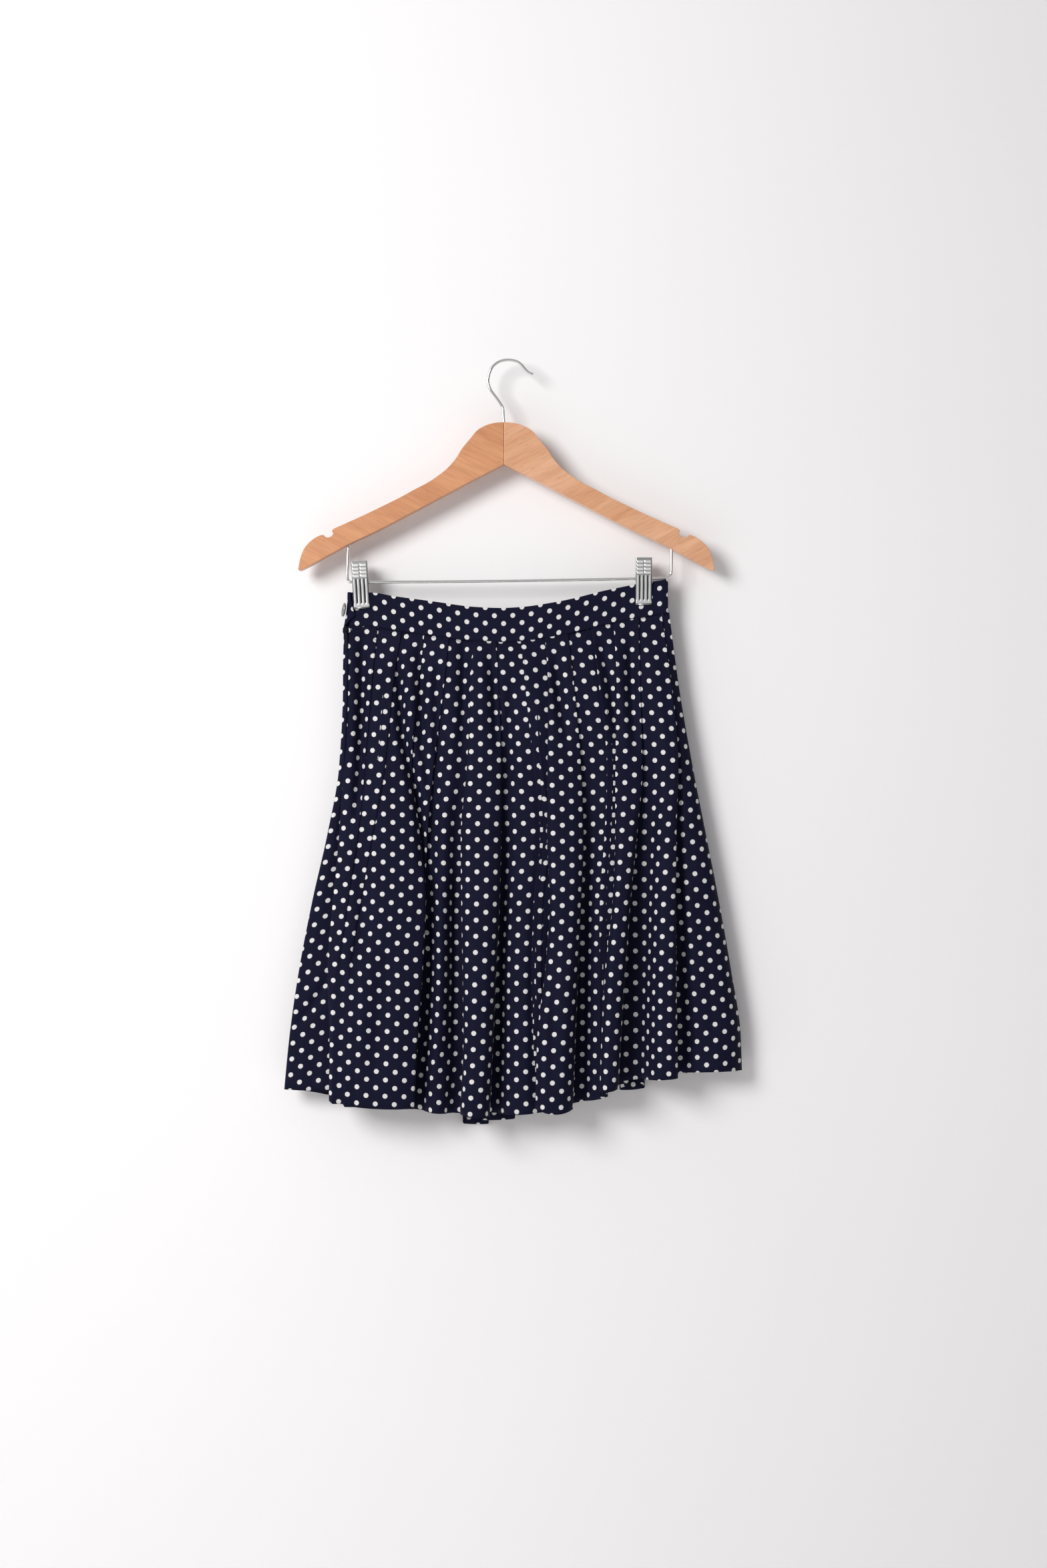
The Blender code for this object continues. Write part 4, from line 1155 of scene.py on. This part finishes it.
def mark_cloth(obj, place):
    """Give each corner its place on the flat cloth, from its point in millimetres."""
    mesh = obj.data
    flat = mesh.attributes.new("cloth", "FLOAT_VECTOR", "CORNER")
    for corner, loop in enumerate(mesh.loops):
        flat.data[corner].vector = place(mesh.vertices[loop.vertex_index].co / MM)


def band_profile(thickness, tall, low):
    """Cross-section of a stiffened band: heights and offsets, round its folded top edge."""
    half = thickness / 2
    profile = [(-half * 0.55, low), (-half * 0.9, low + 0.5), (-half * 0.8, low + 2.2), (-half, low + 4.5)]
    for share in (0.3, 0.5, 0.7, 0.85):
        profile.append((-half * (1.0 + 0.06 * math.sin(math.pi * share)), mix(low, tall, share)))
    for n in range(7):
        a = math.pi * n / 6
        profile.append((-half * math.cos(a), tall - half * 0.9 + half * 0.9 * math.sin(a)))
    for share in (0.85, 0.5, 0.15):
        profile.append((half, mix(low, tall, share)))
    profile.append((half * 0.55, low))
    return profile


def band_half(name, facing, material):
    """Front or back of the waistband, standing on the waist seam, its top edge a soft fold."""
    rings = []
    for n in range(BAND_STEPS + 1):
        x = mix(BAND_LEFT, BAND_RIGHT, n / BAND_STEPS)
        pucker = 0.18 * math.sin(x * 0.55) + 0.14 * math.sin(x * 0.23 + 1.0)
        end = min(1.0, 0.5 + min(n, BAND_STEPS - n) / 4.0)
        ring = []
        for depth, height in band_profile(BAND_THICK * end, BAND_TALL, BAND_LOW):
            near_seam = math.exp(-((height - 5.0) / 4.0) ** 2)
            y = facing * (stand(x) - depth + 0.25 * pucker * near_seam)
            ring.append((x, y, height - seam_drop(x)))
        rings.append(ring)
    obj = loft(name, rings, material)
    across, down = BAND_PRINT
    mark_cloth(obj, lambda p: (-facing * (p.x + across), p.z + seam_drop(p.x) - BAND_TALL + down, 0.0))
    return obj


def make_tab(material):
    """The waistband's end, a bent strip that comes round the left edge onto the front."""
    tops = curve_through([Vector((row[0], row[2], 0)) for row in TAB], TAB_STEPS)
    lows = curve_through([Vector((row[1], row[2], -row[3])) for row in TAB], TAB_STEPS)
    lines = []
    for r in range(TAB_ROWS + 1):
        share = r / TAB_ROWS
        line = []
        for top, low in zip(tops, lows):
            z_top = BAND_TALL - seam_drop(top.x)
            line.append(Vector((mix(top.x, low.x, share * share), top.y, mix(z_top, low.z, share))))
        lines.append(line)
    obj = loft("waistband_tab_cloth", lines, material, caps=False, closed=False)
    obj.data.flip_normals()
    across, down = TAB_PRINT
    mark_cloth(obj, lambda p: (p.x + across - p.y * 1.2, p.z + down, 0.0))
    thicken(obj, TAB_THICK)
    round_edges(obj, 0.5, 2, 50)
    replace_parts(ride(obj), "waistband_tab")
    return obj


def make_band(material):
    front = band_half("waistband_front_cloth", -1, material)
    back = band_half("waistband_back_cloth", 1, material)
    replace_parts(ride(front), "waistband_front")
    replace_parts(ride(back), "waistband_back")
    return front, back, make_tab(material)


def stitch(points, length, radius, lift):
    """Short capsules of thread along a line of points, each lifted off the cloth at its middle."""
    up = lift.normalized()
    stitches = []
    for a, b in zip(points, points[1:]):
        if abs(a.y - b.y) > STITCH_STEP:
            continue
        ahead = (b - a) / max((b - a).length, 1e-6)
        side = ahead.cross(lift).normalized()
        rings = []
        for along, size, high in STITCH_FORM:
            centre = (a + b) / 2 + ahead * along * length + up * high
            rings.append([centre + (side * math.cos(t) + up * math.sin(t)) * radius * size
                          for t in STITCH_TURNS])
        stitches.append(rings)
    return stitches


def thread_object(name, lofts, material):
    """One mesh from many little lofts, each a list of rings."""
    verts, faces = [], []
    for rings in lofts:
        faces += skin_faces(rings, len(verts))
        verts += [tuple(point) for ring in rings for point in ring]
    return turned_outwards(mesh_object(name, verts, faces, material))


def make_zip(material, hard):
    """Woven tape inside the opening, with two rows of teeth down its edge."""
    verts = []
    for r in range(TAPE_LEVELS):
        x, drop, wing_y, fold_y = lap(TAPE_SHARES[0] + TAPE_SHARES[1] * r / (TAPE_LEVELS - 1))
        for n in range(TAPE_COLUMNS):
            aside = 0.6 + TAPE_WIDTH * n / (TAPE_COLUMNS - 1)
            verts.append((x + aside, -(wing_y + fold_y) / 2, -drop))
    strip = mesh_object("zip_tape_cloth", verts, grid_faces(TAPE_LEVELS, TAPE_COLUMNS), material)
    thicken(strip, CLOTH)
    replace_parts(ride(strip), "zip_tape")

    teeth = []
    for n in range(TEETH):
        x, drop, wing_y, fold_y = lap(TEETH_SHARES[0] + TEETH_SHARES[1] * n / (TEETH - 1))
        y = -(wing_y + fold_y) / 2 - 0.45
        middle = x + 1.7 + (0.55 if n % 2 else -0.55)
        teeth.append([[Vector((middle + dx * wide, y + dy * wide, -drop + dz))
                       for dx, dy in TOOTH_OUTLINE] for dz, wide in TOOTH_RINGS])
    ride(thread_object("zip_teeth", teeth, hard))
    return strip


def make_button_thread(material):
    """Four turns of thread between the holes of the button."""
    yaw, tip = math.radians(BUTTON_YAW), math.radians(BUTTON_TIP)
    out = Vector((math.cos(yaw) * math.cos(tip), math.sin(yaw) * math.cos(tip), math.sin(tip)))
    place = Matrix.Translation(Vector(BUTTON_AT)) @ out.to_track_quat("Z", "Y").to_matrix().to_4x4()
    turns = []
    for side in (-1, 1):
        for aside in (-0.25, 0.25):
            ends = [place @ Vector((side * 1.3 + aside, dy, 2.1)) for dy in (-1.5, 1.5)]
            turns += stitch(ends, 3.2, BUTTON_THREAD, out)
    ride(thread_object("button_thread", turns, material))


def make_stitches(cloth, dark, pale):
    """Stitches that hold the pleats shut, those under the waist seam, and a few ends of thread."""
    tree = BVHTree.FromPolygons([v.co / MM for v in cloth.data.vertices],
                                [tuple(face.vertices) for face in cloth.data.polygons])
    towards = Vector((0, -1, 0))

    def on_cloth(x, drop):
        found = tree.ray_cast(Vector((x, -100, -drop)), -towards)[0]
        return found + towards * (CLOTH / 2 + 0.05)

    rows = []
    for i, pleat in enumerate(FRONT_PLEATS):
        aside = -STITCH_ASIDE if pleat[0] == "left" else STITCH_ASIDE
        seam = seam_drop(pleat[4][0])
        points = []
        for n in range(STITCHES_DOWN + 1):
            drop = mix(seam + 3, STITCHED_TO, n / STITCHES_DOWN)
            share = (drop - seam) / (FRONT_PANELS[i][1] - seam)
            points.append(on_cloth(FRONT.edge(i + 1, share)[0] + aside, drop))
        rows += stitch(points, STITCH_LONG, PLEAT_THREAD, towards)
    points = []
    for n in range(STITCHES_ACROSS + 1):
        x = BAND_LEFT + 4 + (BAND_RIGHT - BAND_LEFT - 8) * n / STITCHES_ACROSS
        points.append(on_cloth(x, seam_drop(x) + SEAM_BELOW))
    rows += stitch(points, STITCH_LONG, SEAM_THREAD, towards)
    ride(thread_object("pleat_stitches", rows, dark))

    ends = []
    for x, drop, dx, dz in THREAD_ENDS:
        start = on_cloth(x, drop)
        end = start + Vector((dx, -0.4, dz))
        ends += stitch([start, end], math.hypot(dx, dz), LOOSE_THREAD, towards)
    ride(thread_object("thread_ends", ends, pale))


def make_arm(side, material):
    """Half of the wooden hanger, cut from a board and rounded along its edges."""
    sign = -1 if side == "left" else 1
    joint = ARM_JOINT_X + sign * 0.08
    outline = upright([(joint + sign * reach * ARM_REACH[side], drop) for reach, drop in ARM_OUTLINE])
    outline = curve_through(outline, 5, ARM_CORNERS, 3)
    half = ARM_WIDE / 2
    rings = [[Vector((p.x, y, p.z)) for p in outline] for y in (-half, half)]
    arm = loft("wooden_arm_" + side, rings, material, shade=False)
    round_edges(arm, ARM_EDGE, 5, 40)
    arm.data.polygons.foreach_set("use_smooth", [True] * len(arm.data.polygons))
    soft = arm.modifiers.new("Even shading", "WEIGHTED_NORMAL")
    soft.keep_sharp = True
    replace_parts(ride(arm), "hanger_arm_" + side)


def make_wires(material):
    path = curve_through(upright(HOOK_LINE), WIRE_STEPS)
    ahead = (path[-1] - path[-2]).normalized()
    radius = HOOK_WIRE / 2
    radii = [radius] * len(path)
    for step in (0.25, 0.5, 0.75, 0.95):
        path.append(path[-1] + ahead * 0.25 * radius)
        radii.append(radius * math.sqrt(1 - step * step))
    hook = tube("wire_hook", path, radii, WIRE_SIDES, material)
    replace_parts(ride(hook), "hanger_hook")
    path = curve_through(upright(BAR_LINE), WIRE_STEPS)
    bar = tube("wire_bar", path, [BAR_WIRE / 2] * len(path), WIRE_SIDES, material)
    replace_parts(ride(bar), "trouser_bar")


def plate_relief(x, height, half):
    """How far a clip's plate stands out at a point, and how much painted shade lies there."""
    ribbed = ease(height, 4.0, 6.0) * (1 - ease(height, RIBS_END - 1.5, RIBS_END))
    rib = abs(math.sin(math.pi * (x + half) / (2 * half) * 4)) ** 0.5
    depth = -0.75 * ribbed * (1 - rib)
    for row in range(RIDGE_ROWS):
        inside = math.exp(-((height - (RIDGE_FIRST + row * RIDGE_STEP)) / 1.05) ** 4)
        column = 1 - math.exp(-(x / 0.7) ** 2)
        side = ease(half - abs(x), 0.6, 1.4)
        depth += 0.7 * inside * column * side * ease(height, RIBS_END + 0.5, RIBS_END + 1.0)
    edge = max(0.0, (abs(x) - (half - 0.9)) / 0.9)
    depth -= 0.55 * edge * edge
    # second value: painted shade in the grooves between the ribs, and above them between the grip ridges
    if height < RIBS_END:
        return depth, max(0.0, min(1.0, ribbed * (1 - rib) * 2.6))
    return depth, 0.55 * (1 - min(1.0, max(0.0, depth) / 0.5))


def clip_plate(name, half, facing, bright, dark):
    """One pressed plate: four ribs over the jaw, rows of grip ridges above them, side flanges."""
    heights = [0.0, 0.6, 1.2, 1.6, 2.2, 3.0, 4.0]
    heights += [4.0 + n for n in range(1, 29)]
    heights += [RIBS_END + n * 0.5 for n in range(1, 37)]
    form = [row for row in CLIP_SIDE if row[0] != CLIP_STEP]

    def outer_face(height):
        return look_up(form, 1, height)

    columns = [-half + 2 * half * n / 56 for n in range(57)]
    rings = []
    painted_groove_shades = []
    for height in heights:
        ring = []
        for x in columns:
            depth, painted_groove_shade = plate_relief(x, height, half)
            ring.append((x, outer_face(height) - 0.35 + depth, height - CLIP_BAR))
            painted_groove_shades.append(painted_groove_shade)
        rings.append(ring)
    skin = [[(x, facing * y, z) for x, y, z in ring] for ring in rings]
    face = loft(name + "_face", skin, bright, caps=False, closed=False)
    if facing > 0:
        face.data.flip_normals()
    # painted shade, kept on the plate for its material to darken the steel with
    painted_shade = face.data.attributes.new("painted_groove_shade", "FLOAT", "POINT")
    painted_shade.data.foreach_set("value", painted_groove_shades)
    pieces = [face]
    for sign in (-1, 1):
        walls = []
        for height, outer, reach in CLIP_SIDE:
            inner = max(CLIP_BEHIND, min(reach, outer - 1.6))
            z = height - CLIP_BAR
            x = sign * half
            walls.append([(x, facing * (outer - 1.0), z), (x - sign * 0.05, facing * inner, z),
                          (x - sign * CLIP_SHEET, facing * inner, z),
                          (x - sign * CLIP_SHEET, facing * (outer - 1.3), z)])
        pieces.append(loft(name + "_side", walls, dark))
    lining = [[(x * 0.98, facing * (outer_face(z + CLIP_BAR) - CLIP_SHEET - 0.35), z)
               for x, _, z in ring[::14]] for ring in rings[::6]]
    pieces.append(loft(name + "_lining", lining, dark, caps=False, closed=False))
    lip = [[(x, facing * y, z - CLIP_BAR) for y, z in LIP_OUTLINE] for x in (-half, half)]
    pieces.append(loft(name + "_lip", lip, dark))
    return pieces


def make_clip(name, x, drop, lean, bright, dark):
    """Two plates on the bar, held shut on the waistband by a spring that is wound round it."""
    place = (Matrix.Translation(Vector((x, 0, -drop)) * MM)
             @ Matrix.Rotation(math.radians(-lean), 4, "Y"))
    front = joined("clip_plate_front_" + name, clip_plate("front", CLIP_HALF, -1, bright, dark))
    back = joined("clip_plate_back_" + name, clip_plate("back", CLIP_HALF - 1.1, 1, bright, dark))
    steps = SPRING_TURNS * SPRING_STEPS
    path = []
    for n in range(steps + 1):
        a = 2 * math.pi * n / SPRING_STEPS
        along = mix(-SPRING_HALF, SPRING_HALF, n / steps)
        path.append(Vector((along, SPRING_COIL * math.cos(a), SPRING_COIL * math.sin(a))))
    spring = tube("clip_coil_" + name, path, [SPRING_WIRE / 2] * len(path), 8, bright)
    for piece, part in ((front, "front"), (back, "back"), (spring, "spring")):
        piece.data.transform(place)
        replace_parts(ride(piece), "clip_" + name + "_" + part)


def make_stage():
    """A pale wall, which is clear from behind, and a pale floor."""
    wall = Nodes("backdrop", roughness=0.9)
    cloud = wall.noise(wall.place(), 1.2, 2.0)
    wall.colour(wall.ramp(cloud, ((0.3, (0.88, 0.87, 0.88)), (0.7, (0.90, 0.89, 0.90)))))
    geometry = wall.node("ShaderNodeNewGeometry")
    clear = wall.node("ShaderNodeBsdfTransparent")
    either = wall.node("ShaderNodeMixShader")
    out = wall.tree.nodes["Material Output"]
    wall.link(geometry.outputs["Backfacing"], either.inputs[0])
    wall.link(wall.shader.outputs[0], either.inputs[1])
    wall.link(clear.outputs[0], either.inputs[2])
    wall.link(either.outputs[0], out.inputs["Surface"])
    left, right = -ROOM_HALF, ROOM_HALF
    foot = [(left, WALL_Y, FLOOR_Z), (right, WALL_Y, FLOOR_Z)]
    verts = foot + [(right, WALL_Y, ROOM_TOP), (left, WALL_Y, ROOM_TOP)]
    back = mesh_object("backdrop", verts, [(0, 1, 2, 3)], wall.material, False)
    ground = plain_material("pale_floor", (0.86, 0.85, 0.85), 0.8, grain=0.03, scale=3.0)
    verts = [(left, ROOM_FRONT, FLOOR_Z), (right, ROOM_FRONT, FLOOR_Z)] + foot[::-1]
    under = mesh_object("floor", verts, [(0, 1, 2, 3)], ground, False)


def make_key_light():
    """A soft lamp, high in front on the left."""
    lamp = bpy.data.lights.new("key", "AREA")
    lamp.shape = "DISK"
    lamp.size = KEY_SIZE
    lamp.energy = KEY_POWER
    lamp.color = (1.0, 0.99, 0.98)
    light = placed("key", lamp)
    light.location = KEY_AT
    light.rotation_euler = (Vector(KEY_AIM) - Vector(KEY_AT)).to_track_quat("-Z", "Y").to_euler()


def make_camera():
    camera = bpy.data.cameras.new("camera")
    camera.lens = 50
    camera.sensor_width = 36
    eye = placed("camera", camera)
    eye.location = EYE
    eye.rotation_euler = (math.radians(90), 0, 0)
    bpy.context.scene.camera = eye


def make_sky():
    """Light from all round, stronger from above, in front and on the left."""
    scene = bpy.context.scene
    world = scene.world or bpy.data.worlds.new("world")
    scene.world = world
    world.use_nodes = True
    tree = world.node_tree
    direction = tree.nodes.new("ShaderNodeTexCoord")
    facing = tree.nodes.new("ShaderNodeVectorMath")
    facing.operation = "DOT_PRODUCT"
    facing.inputs[1].default_value = SKY_TOWARDS
    sky = tree.nodes.new("ShaderNodeValToRGB")
    for element, place, colour in zip(sky.color_ramp.elements, (0.25, 0.95), (SKY_LOW, SKY_HIGH)):
        element.position = place
        element.color = colour
    spread = tree.nodes.new("ShaderNodeMapRange")
    spread.inputs["From Min"].default_value = -1.0
    background = tree.nodes["Background"]
    background.inputs["Strength"].default_value = SKY_STRENGTH
    for start, end in ((direction.outputs["Generated"], facing.inputs[0]),
                       (facing.outputs["Value"], spread.inputs["Value"]),
                       (spread.outputs[0], sky.inputs["Fac"]),
                       (sky.outputs["Color"], background.inputs["Color"])):
        tree.links.new(start, end)
    scene.view_settings.view_transform = "Standard"


front_cloth, back_cloth = make_cloth(cloth_material("dotted_navy_cloth", DOTS_ACROSS, DOTS_DOWN))
steel = plain_material("bright_steel", (0.80, 0.80, 0.80), 0.16, 1.0, grain=0.04)
enamel = plain_material("navy_enamel", (0.006, 0.007, 0.018), 0.6, shine=0.12)
thread = plain_material("navy_thread", (0.005, 0.005, 0.012), 0.8)
pale_thread = plain_material("pale_thread", (0.42, 0.41, 0.42), 0.8)
pearl = plain_material("pearl_button", (0.20, 0.20, 0.20), 0.35, coat=0.2)
tape = plain_material("navy_tape", (0.012, 0.013, 0.028), 0.85)
dark_steel = plain_material("shaded_steel", (0.42, 0.42, 0.43), 0.3, 1.0, grain=0.1)
for node in ("zip_slider", "zip_pull"):
    dress_node(node, enamel)
dress_node("waist_button", pearl)
make_button_thread(thread)
zip_piece = make_zip(tape, enamel)
make_stitches(front_cloth, thread, pale_thread)
band_cloth = cloth_material("dotted_navy_band", BAND_DOTS_ACROSS, BAND_DOTS_DOWN)
band_front, band_back, tab = make_band(band_cloth)
make_arm("left", wood_material("wood_left", math.radians(-27), (0.56, 0.235, 0.10), (0.68, 0.32, 0.15)))
make_arm("right", wood_material("wood_right", math.radians(27), (0.64, 0.31, 0.155), (0.76, 0.42, 0.25)))
make_wires(steel)
plate_steel = ribbed_steel_painted_shade()
for row in CLIPS:
    make_clip(*row, plate_steel, dark_steel)

make_stage()
make_camera()
make_sky()
make_key_light()
